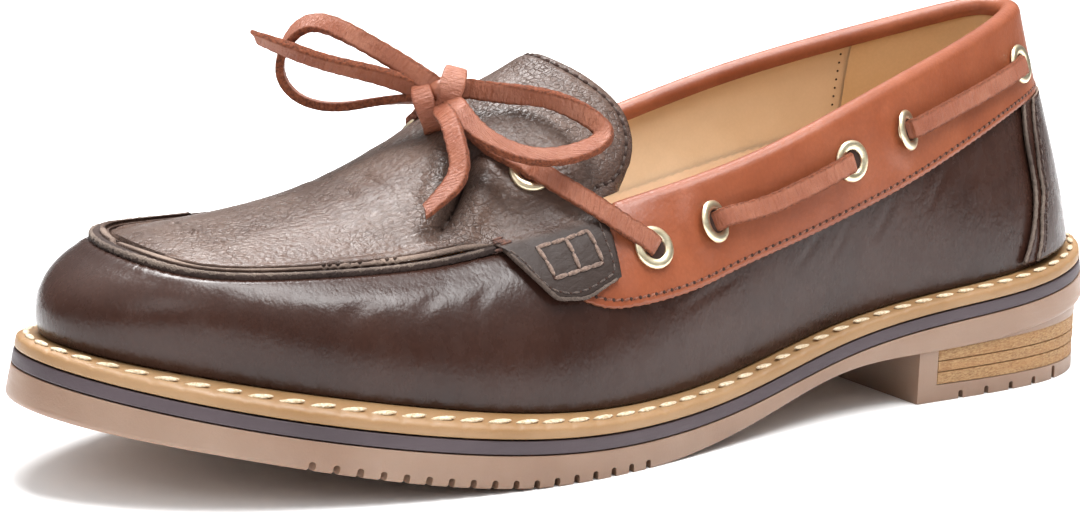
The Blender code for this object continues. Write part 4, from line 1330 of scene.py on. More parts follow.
def lipBead():
    stretches = ((5.75, 9.4, 60), (9.45, 10.55, 30), (10.6, 12.5, 30))
    q = np.concatenate([np.linspace(*stretch) for stretch in stretches])
    place, across, up = seamFrame(q)
    tip = smoothStep(9.0, 9.7, np.where(q > 10, 20 - q, q))
    reach = vampLip["inside"] - 0.45
    points = place - across * reach + up * (lipRise(q) - 0.25 - 0.25 * tip)[:, None]
    return rawBead(points, -across, 0.4 + 0.2 * tip)


def tabBead(sign):
    front = np.linspace(shoe["throat"] + 0.03, shoe["tabFront"] - 0.04, 70)
    q, at = onSide(front, sign), tabLowEdge(front) + 0.004
    return rawBead(raised(side, q, at, apron["lift"] + 1.05), facing(side, q, at), fibres["tab"])


# the vamp's lip is coloured dark: painted shade under the apron's lip
addPiece("vampLip", buildVampLip(), "deepEdge", "brown_leather")
addPiece("rawFibres", joinMeshes(lipBead(), tabBead(1), tabBead(-1)), "fibre")
print("vamp lip")

# collar band
band = {
    "columns": 420,
    "faceRows": 26,
    "rollRows": 12,
    "insideRows": 6,
    "front": 5.12,
    "over": 0.42,
    "dive": 0.95,  # how far its front end sinks under the tab
    "thickness": 1.15,
    "roll": 1.0,
    "scallop": 0.12,
    "scallopPitch": 2.1,
    "inside": 1.2,  # how far it reaches down inside the collar
}
bandEdge = table(
    "section low",
    (0, 0.66),
    (1.17, 0.67),
    (1.97, 0.65),
    (2.47, 0.60),
    (2.88, 0.56),
    (3.28, 0.55),
    (3.66, 0.555),
    (4.09, 0.54),
    (4.36, 0.50),
    (4.57, 0.48),
    (4.79, 0.47),
    (4.94, 0.48),
    (5.12, 0.53),
)
bandLow = naturalSpline(bandEdge["section"], bandEdge["low"])
bandRows = band["faceRows"] + band["rollRows"] + band["insideRows"]

eyelets = {
    "bore": 2.5,
    "flange": 4.7,
    "rise": 1.0,
    "barrel": 2.5,
    "steps": 40,
    "bandWall": 1.2,
    "apronWall": -0.3,
    "seat": 0.85,
    "lip": 0.25,
    "places": ((4.645, 0.725), (4.24, 0.79), (3.225, 0.80), (2.765, 0.805), (1.36, 0.82)),
    "apronPlace": (5.129, 0.755),
    "farPlace": (5.21, -0.61),
    "tilts": {1: 22.0, 3: 22.0},  # the lace lifts the toe side of these two, in degrees
    "swell": 0.3,  # how much of that lift the leather under them follows
}


def towardsHeel(surface, a, b):
    return unit(surface(a + (0.02 if a > 10 else -0.02), b) - surface(a, b))


def tiltSwell(q, v):
    # the leather rises with the lifted side of a tilted eyelet
    rise = np.zeros_like(q)
    points = side(q, v)
    for i, angle in eyelets["tilts"].items():
        place, height = eyelets["places"][i]
        for at in (place, 20 - place):
            away = points - side(at, height)
            ahead = np.maximum(-(away @ towardsHeel(side, at, height)), 0)
            near = 1 - smoothStep(5.2, 9.5, np.linalg.norm(away, axis=1))
            rise += ahead * math.tan(math.radians(angle)) * near * eyelets["swell"]
    return rise


def bandSections(share):
    ends = np.interp([-band["front"] + 20, band["front"]], fine, lapLength)
    total = lapLength[-1]
    run = (ends[0] - total) + (ends[1] - ends[0] + total) * share
    return np.interp(run % total, lapLength, fine), run


def wallHeight(q):  # millimetres from the welt to the top line
    return np.linalg.norm(side(q, 0.9) - side(q, 0.6), axis=1) / 0.3


def bandShape(u, v):
    q, run = bandSections(u)
    front = np.minimum(q, 20 - q)
    row = np.round(v * bandRows)
    sink = smoothStep(4.74, 4.87, front)
    over = band["over"] - band["dive"] * sink
    roll = 1 - smoothStep(4.78, 4.87, front)
    scallop = band["scallop"] * np.cos(run * 2 * np.pi / band["scallopPitch"]) / wallHeight(q)
    low = bandLow(front) + scallop
    high = 1 - 0.2 * sink
    at = low + (high - low) * np.clip(row / band["faceRows"], 0, 1)
    outer = side(q, at) + facing(side, q, at) * (over + tiltSwell(q, at))[:, None]
    # over the rim and down inside it
    normal = facing(side, q, 0.999)
    upward = unit(side(q, 1.0) - side(q, 0.97))
    angle = np.pi * np.clip((row - band["faceRows"]) / band["rollRows"], 0, 1)
    half = shoe["wall"] / 2
    swing = (half + over) * (1 + (np.cos(angle) - 1) * roll)
    lift = (band["roll"] + over) * np.sin(angle) * roll
    down = np.clip((row - band["faceRows"] - band["rollRows"]) / band["insideRows"], 0, 1)
    lift -= band["inside"] * down * roll
    turned = side(q, high) + normal * (swing - half)[:, None] + upward * lift[:, None]
    return np.where((row <= band["faceRows"])[:, None], outer, turned)


bm = turnOut(gridMesh(band["columns"], bandRows, bandShape, closed=True))
sheet = {"wall": band["thickness"], "outer": True, "even": False, "rim": "cutTan"}
addPiece("collarBand", bm, "cognac", "tan_leather", ["collar_band"], **sheet)
print("collar band")

# heel strip, two layers with raw edges
strip = {"low": 0.03, "high": 0.667, "lift": 0.5, "thickness": 0.95, "cover": 0.75}
stripEdge = table(
    "height edge cover",
    (0.03, 1.72, 1.58),
    (0.135, 1.625, 1.51),
    (0.226, 1.551, 1.48),
    (0.305, 1.505, 1.41),
    (0.394, 1.493, 1.41),
    (0.495, 1.499, 1.365),
    (0.602, 1.459, 1.30),
    (0.667, 1.401, 1.20),
)


def stripEdgeAt(column):
    return naturalSpline(stripEdge["height"], stripEdge[column])


def stripShape(column, lift):
    reachAt = stripEdgeAt(column)

    def shape(u, v):
        at = strip["low"] + (strip["high"] - strip["low"]) * v
        return raised(side, (2 * u - 1) * reachAt(at), at, lift)

    return shape


def stripBead(column, height, sign):
    at = np.linspace(strip["low"] + 0.01, strip["high"] - 0.005, 60)
    q = sign * stripEdgeAt(column)(at)
    return rawBead(raised(side, q, at, height), facing(side, q, at), fibres["strip"])


coverLift = strip["lift"] + strip["thickness"] * 0.9
sheet = {"outer": True, "rim": "cutEdge"}
bm = turnOut(gridMesh(90, 50, stripShape("edge", strip["lift"])))
addPiece("heelStrip", bm, "chocolate", "brown_leather", ["heel_strip"], strip["thickness"], **sheet)
bm = turnOut(gridMesh(80, 50, stripShape("cover", coverLift)))
addPiece("heelStripCover", bm, "chocolate", "brown_leather", (), strip["cover"], **sheet)
bm = bmesh.new()
for column, height in (("edge", strip["lift"] + 0.7), ("cover", strip["lift"] + strip["thickness"] + 0.45)):
    joinMeshes(bm, stripBead(column, height, 1), stripBead(column, height, -1))
addPiece("stripFibres", bm, "fibre")
print("heel strip")

# eyelets


def eyeletPlaces():
    places = []
    for i, (q, v) in enumerate(eyelets["places"]):
        for word, sign in (("outer", 1), ("inner", -1)):
            places.append((f"{word}_{i + 1}", side, onSide(q, sign), v, eyelets["bandWall"]))
    places.append(("outer_0", crown, *eyelets["apronPlace"], eyelets["apronWall"]))
    places.append(("inner_0", crown, *eyelets["farPlace"], eyelets["apronWall"]))
    return places


def buildEyelet(place, normal):
    # a rolled ring with a short barrel, turned on a lathe
    bore, flange, lip = eyelets["bore"], eyelets["flange"], eyelets["lip"]
    profile = [(bore + lip, -eyelets["barrel"]), (bore, -eyelets["barrel"])]
    for angle in np.linspace(math.pi, 0, 11):
        radius = (bore + flange + (flange - bore) * math.cos(angle)) / 2
        rise = (eyelets["rise"] - lip) * max(math.sin(angle), 0.0) ** 0.7
        profile.append((radius, lip + rise))
    profile += [(flange - lip, 0.0), (bore + lip, 0.0)]
    bm = bmesh.new()
    verts = [bm.verts.new((radius, 0, height)) for radius, height in profile]
    edges = [bm.edges.new(pair) for pair in zip(verts, verts[1:] + verts[:1])]
    lathe = {"cent": (0, 0, 0), "axis": (0, 0, 1), "angle": 2 * math.pi, "steps": eyelets["steps"]}
    bmesh.ops.spin(bm, geom=verts + edges, use_merge=True, **lathe)
    bmesh.ops.remove_doubles(bm, verts=bm.verts, dist=0.0005)
    bmesh.ops.recalc_face_normals(bm, faces=bm.faces)
    bmesh.ops.rotate(bm, verts=bm.verts, matrix=Vector(normal).to_track_quat("Z", "Y").to_matrix())
    bmesh.ops.translate(bm, verts=bm.verts, vec=Vector(place))
    return fromMillimetres(bm)


# painted shade: a dark disc sunk in each eyelet, where its hole is in shade
holes = bmesh.new()  # the dark inside of each eyelet
for name, surface, a, b, wall in eyeletPlaces():
    normal = facing(surface, a, b)
    place = surface(a, b) + normal * (wall + eyelets["seat"] - 0.25)
    angle = math.radians(eyelets["tilts"].get(int(name[-1]) - 1, 0.0))
    bm = buildEyelet(place, normal * math.cos(angle) + towardsHeel(surface, a, b) * math.sin(angle))
    addPiece("goldRing_" + name, bm, "gold", "pale_gold", ["eyelet_" + name], sharp=40)
    turn = Vector(normal).to_track_quat("Z", "Y").to_matrix().to_4x4()
    matrix = Matrix.Translation(Vector(toFrame(place + normal * 0.35))) @ turn
    radius = (eyelets["bore"] + 0.1) / 1000
    bmesh.ops.create_circle(holes, cap_ends=True, segments=24, radius=radius, matrix=matrix)
addPiece("eyeletShade", holes, "hole")
print("eyelets")

# stretches of lace from eyelet to eyelet

bars = {
    "over": 3.4,  # middle of the lace over the leather, half way between two eyelets
    # up out of an eyelet: millimetres from its middle, height over the leather
    "stops": ((0.0, -1.6), (0.25, 1.2), (1.3, 3.0), (3.2, 3.75)),
    "apronDrop": 1.05,
    "bulge": {1: 1.5, -1: 3.0},  # how far the stretch over the top line bows out, on either side
    "face": (0.45, 0.8, 0.35),  # the way its flat looks, on the outer side
    "toKnot": {  # section, share across, height, on either side
        1: ((5.19, 0.69, 2.0), (5.235, 0.63, 1.7), (5.285, 0.54, 1.7), (5.30, 0.40, 2.0), (5.30, 0.30, 2.6)),
        -1: ((5.205, 0.55, 1.7), (5.20, 0.50, 1.7), (5.19, 0.45, 1.8), (5.18, 0.38, 2.1), (5.18, 0.28, 2.8)),
    },
}


def intoEyelet(surface, a, b, towards, drop=0.0):
    # points up out of an eyelet and over its rim, from inside the shoe
    normal = facing(surface, a, b)
    base = surface(a, b)
    way = towards - base
    way = unit(way - normal * (way @ normal))
    return [base + way * away + normal * (height - drop) for away, height in bars["stops"]]


def addStretch(points, normals, replaced):
    faceAt = naturalSpline(range(len(normals)), np.array(normals))
    whole = unit(points[-1] - points[0])

    def acrossAt(v):
        return unit(np.cross(whole, faceAt(v * (len(normals) - 1))))

    bm = thong(*lineThrough(points), acrossAt)
    addPiece("stretch" + replaced[4:], bm, "lace", "lace_leather", [replaced], sharp=50)


def addBars(sign, word):
    spots = [(onSide(q, sign), v) for q, v in eyelets["places"]]
    for i in (1, 3):
        start, end = np.array(spots[i]), np.array(spots[i + 1])
        first = intoEyelet(side, *start, side(*end))
        last = intoEyelet(side, *end, side(*start))
        between = [raised(side, *(start + (end - start) * t), bars["over"]) for t in (0.3, 0.5, 0.7)]
        normals = [facing(side, *start), facing(side, *end)]
        normals.insert(1, unit(normals[0] + normals[1]))
        addStretch(first + between + last[::-1], normals, f"lace_{word}_{i + 1}")

    # from the apron's eyelet over the top line to the band
    apronSpot = eyelets["apronPlace"] if sign > 0 else eyelets["farPlace"]
    first = intoEyelet(crown, *apronSpot, side(*spots[0]), bars["apronDrop"])[:-1]
    last = intoEyelet(side, *spots[0], crown(*apronSpot))[:-1]
    face = unit(np.array(bars["face"]) * (1, sign, 1))
    between = [
        first[-1] + (last[-1] - first[-1]) * t + face * bars["bulge"][sign] * math.sin(math.pi * t)
        for t in (0.2, 0.4, 0.6, 0.8)
    ]
    addStretch(first + between + last[::-1], [face, face, face], f"lace_{word}_1")

    # and from there to the knot
    route = [(q, across * sign, height) for q, across, height in bars["toKnot"][sign]]
    between = [raised(crown, *spot) for spot in route]
    first = intoEyelet(crown, *apronSpot, between[1], bars["apronDrop"])
    normals = [facing(crown, *apronSpot), facing(crown, *route[-1][:2])]
    addStretch(first[:-1] + between[1:], normals, f"lace_{word}_0")


addBars(1, "outer")
addBars(-1, "inner")
print("lace through the eyelets")

# the sole
sole = {
    "weltDepth": 2.8,
    "midsoleDepth": 2.8,
    "insoleDepth": 2.6,
    "heelFront": 66.0,
    "stackFront": 60.5,
    "heelDraw": 0.03,
    "ribs": (150.0, 224.0, 4.6),
    "heelRibs": (21.0, 56.0, 8.0),
    "ribGap": 1.4,
    "ribUp": 2.0,
    "stitchPitch": 6.28,
    "stitchDip": 0.28,
    "liftJoint": 0.12,  # half the seam between two lifts, and how far they stand back
}
lifts = table("back front", (14.3, 12.3), (10.0, 9.6), (7.0, 7.0), (3.3, 4.0))
edgeLength = lengthsAlong(edgeAt(fine))


def weltSections(share):
    return np.interp(share * edgeLength[-1], edgeLength, fine)


# each corner of the welt: inset in mm, share of the ledge added to it, depth in mm, share of the rise
weltCorners = [(0, 0, 0, 0), (0, 1, 0, 1), (6, 1, 0, 1), (6, 1, 2.8, 0), (0, 0, 2.8, 0)]
weltOutline = roundedOutline(weltCorners, steps=4, radii=(0.9, 0.1, 0.1, 0.1, 0.5))
acrossTop = np.linspace(weltOutline[4], weltOutline[5], 6)[1:-1]
weltOutline = np.vstack([weltOutline[:5], acrossTop, weltOutline[5:]])


def weltShape(u, v):
    q = weltSections(u)
    at = along(weltOutline, v)
    inset = at[:, 0] + at[:, 1] * ledgeAt(q)
    run = u * edgeLength[-1] / sole["stitchPitch"]
    between = np.abs((run % 1.0) - 0.5) * 2  # 1 where one stitch ends and the next begins
    dip = sole["stitchDip"] * smoothStep(0.72, 1.0, between) * (at[:, 2] < 1.2) * (inset < 2.4)
    dip *= smoothStep(0, 0.004, np.minimum(u, 1 - u))  # none where the strip's two ends meet
    return solePoint(q, inset, at[:, 2] + dip, at[:, 3] * riseAt(q))


bm = closeEnds(gridMesh(900, len(weltOutline), weltShape, closed=True))
addPiece("weltStrip", bm, "welt", "honey_welt", ["welt"])


def slabMesh(sections, edgePoint, profile, across=14):
    # a plate: round the outer edge's profile, over the top, round the inner edge and back underneath
    count = len(profile)
    total = 2 * (count + across)

    def shape(u, v):
        q = sections[np.round(v * (len(sections) - 1)).astype(int)]
        index = np.round(u * total).astype(int) % total
        made = np.zeros((len(q), 3))
        onOuter = index < count
        made[onOuter] = edgePoint(q[onOuter], profile[index[onOuter]])
        onTop = (index >= count) & (index < count + across)
        share = (index[onTop] - count + 1)[:, None] / (across + 1)
        last = np.repeat(profile[-1:], onTop.sum(), axis=0)
        made[onTop] = (1 - share) * edgePoint(q[onTop], last) + share * edgePoint(20 - q[onTop], last)
        onInner = (index >= count + across) & (index < 2 * count + across)
        back = count - 1 - (index[onInner] - count - across)
        made[onInner] = edgePoint(20 - q[onInner], profile[back])
        under = index >= 2 * count + across
        share = (index[under] - 2 * count - across + 1)[:, None] / (across + 1)
        first = np.repeat(profile[:1], under.sum(), axis=0)
        made[under] = (1 - share) * edgePoint(20 - q[under], first) + share * edgePoint(q[under], first)
        return made

    bm = gridMesh(total, len(sections) - 1, shape, closed=True)
    ends = [edge for edge in bm.edges if edge.is_boundary]
    if ends:
        bmesh.ops.holes_fill(bm, edges=ends)
    bmesh.ops.dissolve_degenerate(bm, edges=bm.edges, dist=0.00001)
    bmesh.ops.recalc_face_normals(bm, faces=bm.faces)
    return bm


def sectionsTo(front=None, step=1.1):
    # sections of the outer side in even steps, from the heel to the toe or to where x reaches front
    last = 10.0
    if front is not None:
        reach = fine[fine <= 4]
        last = float(np.interp(front, edgeAt(reach)[:, 0], reach))
    total = np.interp(last, fine, edgeLength)
    return np.interp(np.linspace(0, total, int(total / step)), edgeLength, fine)


midTop = sole["weltDepth"] + shoe["gap"]
outTop = midTop + sole["midsoleDepth"] + shoe["gap"]


def midsolePoint(q, at):
    return solePoint(q, at[:, 0], at[:, 1])


def edgeProfile(top, bottom, topRadius, bottomRadius, reach=2.5):
    # inset and depth from under the plate, round its edge, to its top
    corners = [(reach, bottom), (0, bottom), (0, top), (reach, top)]
    return roundedOutline(corners, steps=4, radii=(0.01, bottomRadius, topRadius, 0.01))[4:-4]


profile = edgeProfile(midTop, midTop + sole["midsoleDepth"], 0.35, 0.35)
bm = slabMesh(sectionsTo(), midsolePoint, profile)
addPiece("midsoleLayer", bm, "midsole", "dark_midsole", ["midsole"])

# the unit's edge is drawn 6 mm deep and its lower half, marked in a third column, moved to the real depth
unitDepth = 6.0
outProfile = edgeProfile(0.0, unitDepth, 0.3, 1.2)
outProfile = np.column_stack([outProfile, outProfile[:, 1] > unitDepth / 2])


def outsolePoint(q, at):
    full = soleDepth(edgeAt(q)[:, 0])
    depth = np.where(at[:, 2] > 0.5, full - (unitDepth - at[:, 1]), outTop + at[:, 1])
    return solePoint(q, at[:, 0], depth)


def liftHeight(joint, x):
    back, front = lifts["back"][joint], lifts["front"][joint]
    return back + (front - back) * np.clip(x / sole["stackFront"], 0, 1)


def heelPoint(q, z, front, inset=0.0):
    spot = edgeAt(q) - outward(q)[..., :2] * inset
    under = 1.0 - sole["heelDraw"] * (1 - z / soleProfile["top"][0])
    return np.stack([np.minimum(spot[..., 0], front), spot[..., 1] * under, z], axis=-1)


def heelBlockPoint(q, at):
    # at: inset, share of the way up from the ground to inside the sole, height over the ground
    top = solePoint(q, 0.6, outTop + 2.5)[:, 2]
    z = at[:, 2] + at[:, 1] * (top - at[:, 2])
    return heelPoint(q, z, sole["heelFront"], at[:, 0][:, None])


def cutWith(made, bm, operation="DIFFERENCE"):
    cutter = objectFrom(bm, "cutter", parts)
    change = made.modifiers.new("cut", "BOOLEAN")
    change.operation = operation
    change.object = cutter
    change.solver = "EXACT"
    graph = bpy.context.evaluated_depsgraph_get()
    mesh = bpy.data.meshes.new_from_object(made.evaluated_get(graph))
    made.modifiers.clear()
    made.data = mesh
    bpy.data.objects.remove(cutter, do_unlink=True)


def roundSlot(bm, middle, size, pitch):
    # a notch with a round top: a box with its upper edges bevelled
    made = bmesh.ops.create_cube(bm, size=1.0)["verts"]
    bmesh.ops.scale(bm, verts=made, vec=size)
    top = [edge for edge in bm.edges if set(edge.verts) <= set(made) and all(v.co.z > 0 for v in edge.verts)]
    sides = [edge for edge in top if abs(edge.verts[0].co.y - edge.verts[1].co.y) > size[1] / 2]
    bevel = {"offset": size[0] * 0.42, "segments": 3, "profile": 0.5, "affect": "EDGES", "material": -1}
    cut = bmesh.ops.bevel(bm, geom=sides, **bevel)
    whole = [vert for vert in set(made) | set(cut["verts"]) if vert.is_valid]
    bmesh.ops.rotate(bm, verts=whole, matrix=Matrix.Rotation(pitch, 3, "Y"))
    bmesh.ops.translate(bm, verts=whole, vec=middle)


def ribCutters():
    bm = bmesh.new()
    gap, up = sole["ribGap"], sole["ribUp"] * 2
    for sign in (1, -1):
        at = onSide(np.linspace(0, 10, 2001), sign)
        edge = edgeAt(at)[:, 0]
        for x in np.arange(*sole["ribs"]):
            q = np.array([np.interp(x, edge, at)])
            foot = solePoint(q, 0.0, soleDepth(np.array([x])))[0]
            slope = float(soleTop(x + 0.5) - soleTop(x - 0.5))
            roundSlot(bm, foot, (gap, 14.0, up), -math.atan(slope))
        for x in np.arange(*sole["heelRibs"]):
            q = np.array([np.interp(x, edge, at)])
            tall = 1.6 if x < sole["heelRibs"][0] + 1 else 1.0
            roundSlot(bm, heelPoint(q, np.zeros(1), sole["heelFront"])[0], (gap, 7.0, up * tall), 0.0)
    return fromMillimetres(bm)


def liftPocket():
    bm = bmesh.new()
    for vert in bmesh.ops.create_cube(bm, size=1.0)["verts"]:
        joint = 0 if vert.co.z > 0 else len(lifts["back"]) - 1
        x = -5.0 if vert.co.x < 0 else sole["stackFront"]
        vert.co = (x, vert.co.y * 100, float(liftHeight(joint, x)))
    return closeEnds(fromMillimetres(bm))


def buildOutsole():
    bm = slabMesh(sectionsTo(), outsolePoint, outProfile)
    made = addPiece("outsoleUnit", bm, "gum", "gum_rubber", ["outsole"])
    corners = [(3, 0.0), (0, 0.0), (0, 1.0), (3, 1.0)]
    rows = roundedOutline(corners, steps=4, radii=(0.01, 0.6, 0.01, 0.01))[4:-4]
    low = np.where(rows[:, 1] < 0.5, rows[:, 1], 0.0)
    rows = np.column_stack([rows[:, 0], rows[:, 1] > 0.5, low])
    cutWith(made, slabMesh(sectionsTo(sole["heelFront"]), heelBlockPoint, rows), "UNION")
    cutWith(made, liftPocket())
    cutWith(made, ribCutters())
    # the cuts leave faces with many corners and some slivers
    bm = bmesh.new()
    bm.from_mesh(made.data)
    bmesh.ops.remove_doubles(bm, verts=bm.verts, dist=0.000005)
    flat = [face for face in bm.faces if len(face.verts) > 4]
    bmesh.ops.triangulate(bm, faces=flat, ngon_method="BEAUTY")
    bmesh.ops.dissolve_degenerate(bm, edges=bm.edges, dist=0.000005)
    bm.to_mesh(made.data)
    bm.free()
    made.data.shade_smooth()
    made.data.set_sharp_from_angle(angle=math.radians(35))


buildOutsole()
print("outsole")


def addLift(joint):
    front = sole["stackFront"] - shoe["gap"]
    corners = [(2, 1.0), (0, 1.0), (0, 0.0), (2, 0.0)]
    profile = roundedOutline(corners, steps=3, radii=(0.01, 0.12, 0.12, 0.01))[3:-3]
    joined = sole["liftJoint"]

    def liftPoint(q, at):
        x = edgeAt(q)[:, 0]
        top, bottom = liftHeight(joint, x) - joined, liftHeight(joint + 1, x) + joined
        uneven = 0.10 * np.sin(q * 61 + joint * 2) + 0.07 * np.sin(q * 143 + joint)
        z = top + (bottom - top) * at[:, 1]
        return heelPoint(q, z, front, (at[:, 0] + joined + uneven * 0.6)[:, None])

    bm = slabMesh(sectionsTo(front, 0.8), liftPoint, profile)
    addPiece(f"lift_{joint + 1}", bm, "stack", "stacked_leather", [f"heel_lift_{joint + 1}"], sharp=40)


for joint in range(3):
    addLift(joint)


def insolePoint(q, at):
    inset = ledgeAt(q) + shoe["wall"] + 2 * shoe["gap"]
    lift = riseAt(q) + shoe["gap"] + sole["insoleDepth"]
    return solePoint(q, inset + at[:, 0], at[:, 1], lift)


bm = slabMesh(sectionsTo(), insolePoint, edgeProfile(0.0, sole["insoleDepth"], 0.8, 0.2), 24)
addPiece("insoleBoard", bm, "lining", "insole_leather", ["insole"])
print("lifts and insole")

# knot: two wraps, a core and the hidden ends of the strands

knot = {
    "axis": (-0.86, 0.51, 0.0),
    "half": 0.85,
    "core": (3.6, 3.4, 3.2),
    "wraps": (  # shift along the axis and up, half height, half depth, tilt in degrees, width
        (1.8, -0.1, 4.8, 4.9, -14.0, 5.0),
        (-3.1, -3.6, 4.7, 3.9, 18.0, 4.3),
    ),
}


def buildWrap(shift, rise, high, deep, tilt, width):
    axis = unit(np.array(knot["axis"]))
    up = np.array([0.0, 0.0, 1.0])
    deepWay = np.cross(axis, up)
    angle = math.radians(tilt)
    wideWay = axis * math.cos(angle) + up * math.sin(angle)
    highWay = up * math.cos(angle) - axis * math.sin(angle)
    centre = np.array(lace["knot"]) + axis * shift + up * rise
    half, thick = width / 2, knot["half"]
    outline = roundedOutline([(half, -thick), (half, thick), (-half, thick), (-half, -thick)], 0.2, 3)

    def shape(u, v):
        at = along(outline, u)
        turn = v * 2 * np.pi
        squash = 1 + 0.05 * np.sin(2 * turn + 1)
        ring = deepWay * (np.cos(turn) * deep * squash)[:, None] + highWay * (np.sin(turn) * high)[:, None]
        out = unit(deepWay * (np.cos(turn) * high)[:, None] + highWay * (np.sin(turn) * deep)[:, None])
        wide = at[:, :1] * (1 + 0.08 * np.sin(3 * turn))[:, None]
        return centre + ring + out * at[:, 1:] + wideWay * wide

    return closeEnds(gridMesh(len(outline), 48, shape, closed=True))


core = bmesh.new()
bmesh.ops.create_icosphere(core, subdivisions=4, radius=1.0)
bmesh.ops.scale(core, verts=core.verts, vec=knot["core"])
bmesh.ops.translate(core, verts=core.verts, vec=lace["knot"])
bm = joinMeshes(*(buildWrap(*row) for row in knot["wraps"]), fromMillimetres(core))
for row in bow.values():
    for share in (0.0, 1.0) if row["farEnd"] == "knot" else (0.0,):
        joinMeshes(bm, intoKnot(row, share))
addPiece("laceKnot", bm, "lace", "lace_leather", ["lace_knot"], sharp=50)
print("knot")

# linings sewn in over the wall: a lower strip with a pinked edge, and the heel's own piece

innerLinings = {
    "strip": {"from": 2.2, "to": 4.75, "low": 0.2, "high": 0.555, "pink": 0.014, "pitch": 2.5},
    "heel": {"at": 2.215, "low": 0.1, "high": 0.975},
    "depth": lining["depth"] + lining["skin"] + 0.12,
}


def stripOn(sign):
    row = innerLinings["strip"]

    def shape(u, v):
        q = row["from"] + (row["to"] - row["from"]) * u
        run = np.interp(q, fine, lapLength)
        pink = row["pink"] * (2 * np.abs((run / row["pitch"]) % 1.0 - 0.5) - 0.5)
        high = row["high"] + 0.05 * ((q - 3.3) / 1.4) ** 2 + pink
        return raised(side, onSide(q, sign), row["low"] + (high - row["low"]) * v, -innerLinings["depth"])

    return gridMesh(420, 6, shape)


def heelPiece(u, v):
    row = innerLinings["heel"]
    at = row["low"] + (row["high"] - row["low"]) * v
    return raised(side, row["at"] * (2 * u - 1), at, -innerLinings["depth"])


addPiece("liningStrip_outer", turnOut(stripOn(1), -1.0), "liningLight")
addPiece("liningStrip_inner", turnOut(stripOn(-1), -1.0), "liningLight")
addPiece("liningHeel", turnOut(gridMesh(120, 24, heelPiece), -1.0), "liningHeel")
print("inner linings")

# thread and needle holes, one mesh for each kind

def skinsOf(*names):
    graph = bpy.context.evaluated_depsgraph_get()
    return [BVHTree.FromObject(bpy.data.objects[name], graph) for name in names]


def onSkin(skins, points, normals, reach=6.0):
    # carries each point along its normal onto the outermost skin there, in the frame's metres
    made = []
    for point, normal in zip(toFrame(points), normals):
        start = Vector(point + normal * reach / 1000)
        hits = [skin.ray_cast(start, Vector(-normal), 2.5 * reach / 1000) for skin in skins]
        hits = [hit for hit in hits if hit[0] is not None]
        made.append(min(hits, key=lambda hit: hit[3])[0] if hits else Vector(point))
    return np.array(made)


def sew(bm, places, ups, stops, size, lift=0.0, slant=0.0):
    # one lens of thread, or one needle hole, at each stop in millimetres along a line
    lengths = lengthsAlong(places) * 1000
    half = size[0] * 0.3
    angle = math.radians(slant)

    def at(where, values):
        return np.array([np.interp(where, lengths, column) for column in values.T])

    for stop in stops[stops <= lengths[-1]]:
        up = unit(at(stop, ups))
        run = unit(at(min(stop + half, lengths[-1]), places) - at(max(stop - half, 0), places))
        run = unit(run - up * (run @ up))
        across = np.cross(up, run)
        long = run * math.cos(angle) + across * math.sin(angle)
        across = across * math.cos(angle) - run * math.sin(angle)
        axes = np.stack([long * size[0], across * size[1], up * size[2]], axis=1) / 2000
        spot = at(stop, places) + up * lift / 1000
        matrix = Matrix([[*axes[i], spot[i]] for i in range(3)] + [[0, 0, 0, 1]])
        bmesh.ops.create_uvsphere(bm, u_segments=8, v_segments=6, radius=1.0, matrix=matrix)


def sewRow(kinds, skins, points, normals, pitch, start=0.5):
    # kinds: (mesh, size, lift, slant, share of the pitch that it is moved on by)
    places = onSkin(skins, points, normals)
    length = lengthsAlong(places)[-1] * 1000
    for bm, size, lift, slant, shift in kinds:
        sew(bm, places, normals, np.arange((start + shift) * pitch, length, pitch), size, lift, slant)


def lineOn(surface, spots, count):
    read = naturalSpline(range(len(spots)), np.array(spots, float))
    at = read(np.linspace(0, len(spots) - 1, count)).T
    return surface(*at), facing(surface, *at)

seams = {
    "mocPitch": 2.7,
    "mocFrom": 5.74,
    "tonguePitch": 2.5,
    "tabPitch": 2.4,
    "tabFrontEdge": (
        (5.594, 0.888), (5.524, 0.782), (5.466, 0.687), (5.399, 0.619), (5.326, 0.586), (5.217, 0.57),
        (5.083, 0.585), (4.968, 0.616), (4.915, 0.655), (4.917, 0.752), (4.921, 0.84), (4.916, 0.914),
    ),
    "panes": (  # corners: top row from the toe back, then the bottom row
        (5.394, 0.853), (5.175, 0.864), (5.005, 0.886), (5.341, 0.656), (5.149, 0.673), (4.978, 0.691),
    ),
    "paneSides": ((0, 1), (1, 2), (3, 4), (4, 5), (0, 3), (1, 4), (2, 5)),
    "tack": {"at": (5.615, 0.965), "rows": 6, "step": 0.011, "length": 3.1},
    "bandInset": 1.45,
    "weltInset": 2.0,
    "liningPitch": 2.2,
    "heelPitch": 2.6,
}


def stitchKinds(thread, size, lift, hole, holeLift=0.0):
    return [(thread, size, lift, 0.0, 0.0), (needle, hole, holeLift, 0.0, 0.5)]


def sewApron():
    skin = skinsOf("apronTongue")
    start = seamShare(seams["mocFrom"])
    place, across, up = seamFrame(seamSection(np.linspace(start, 1 - start, 900)))
    kinds = stitchKinds(dark, (2.1, 0.5, 0.4), 0.08, (0.9, 0.65, 0.3))
    sewRow(kinds, skin, place - across * 0.9, up, seams["mocPitch"])
    spots = tongueSeamLine(500)
    kinds = stitchKinds(dark, (1.7, 0.6, 0.5), 0.08, (1.5, 1.1, 0.8), 0.05)
    sewRow(kinds, skin, tongue(*spots), facing(tongue, *spots), seams["tonguePitch"])


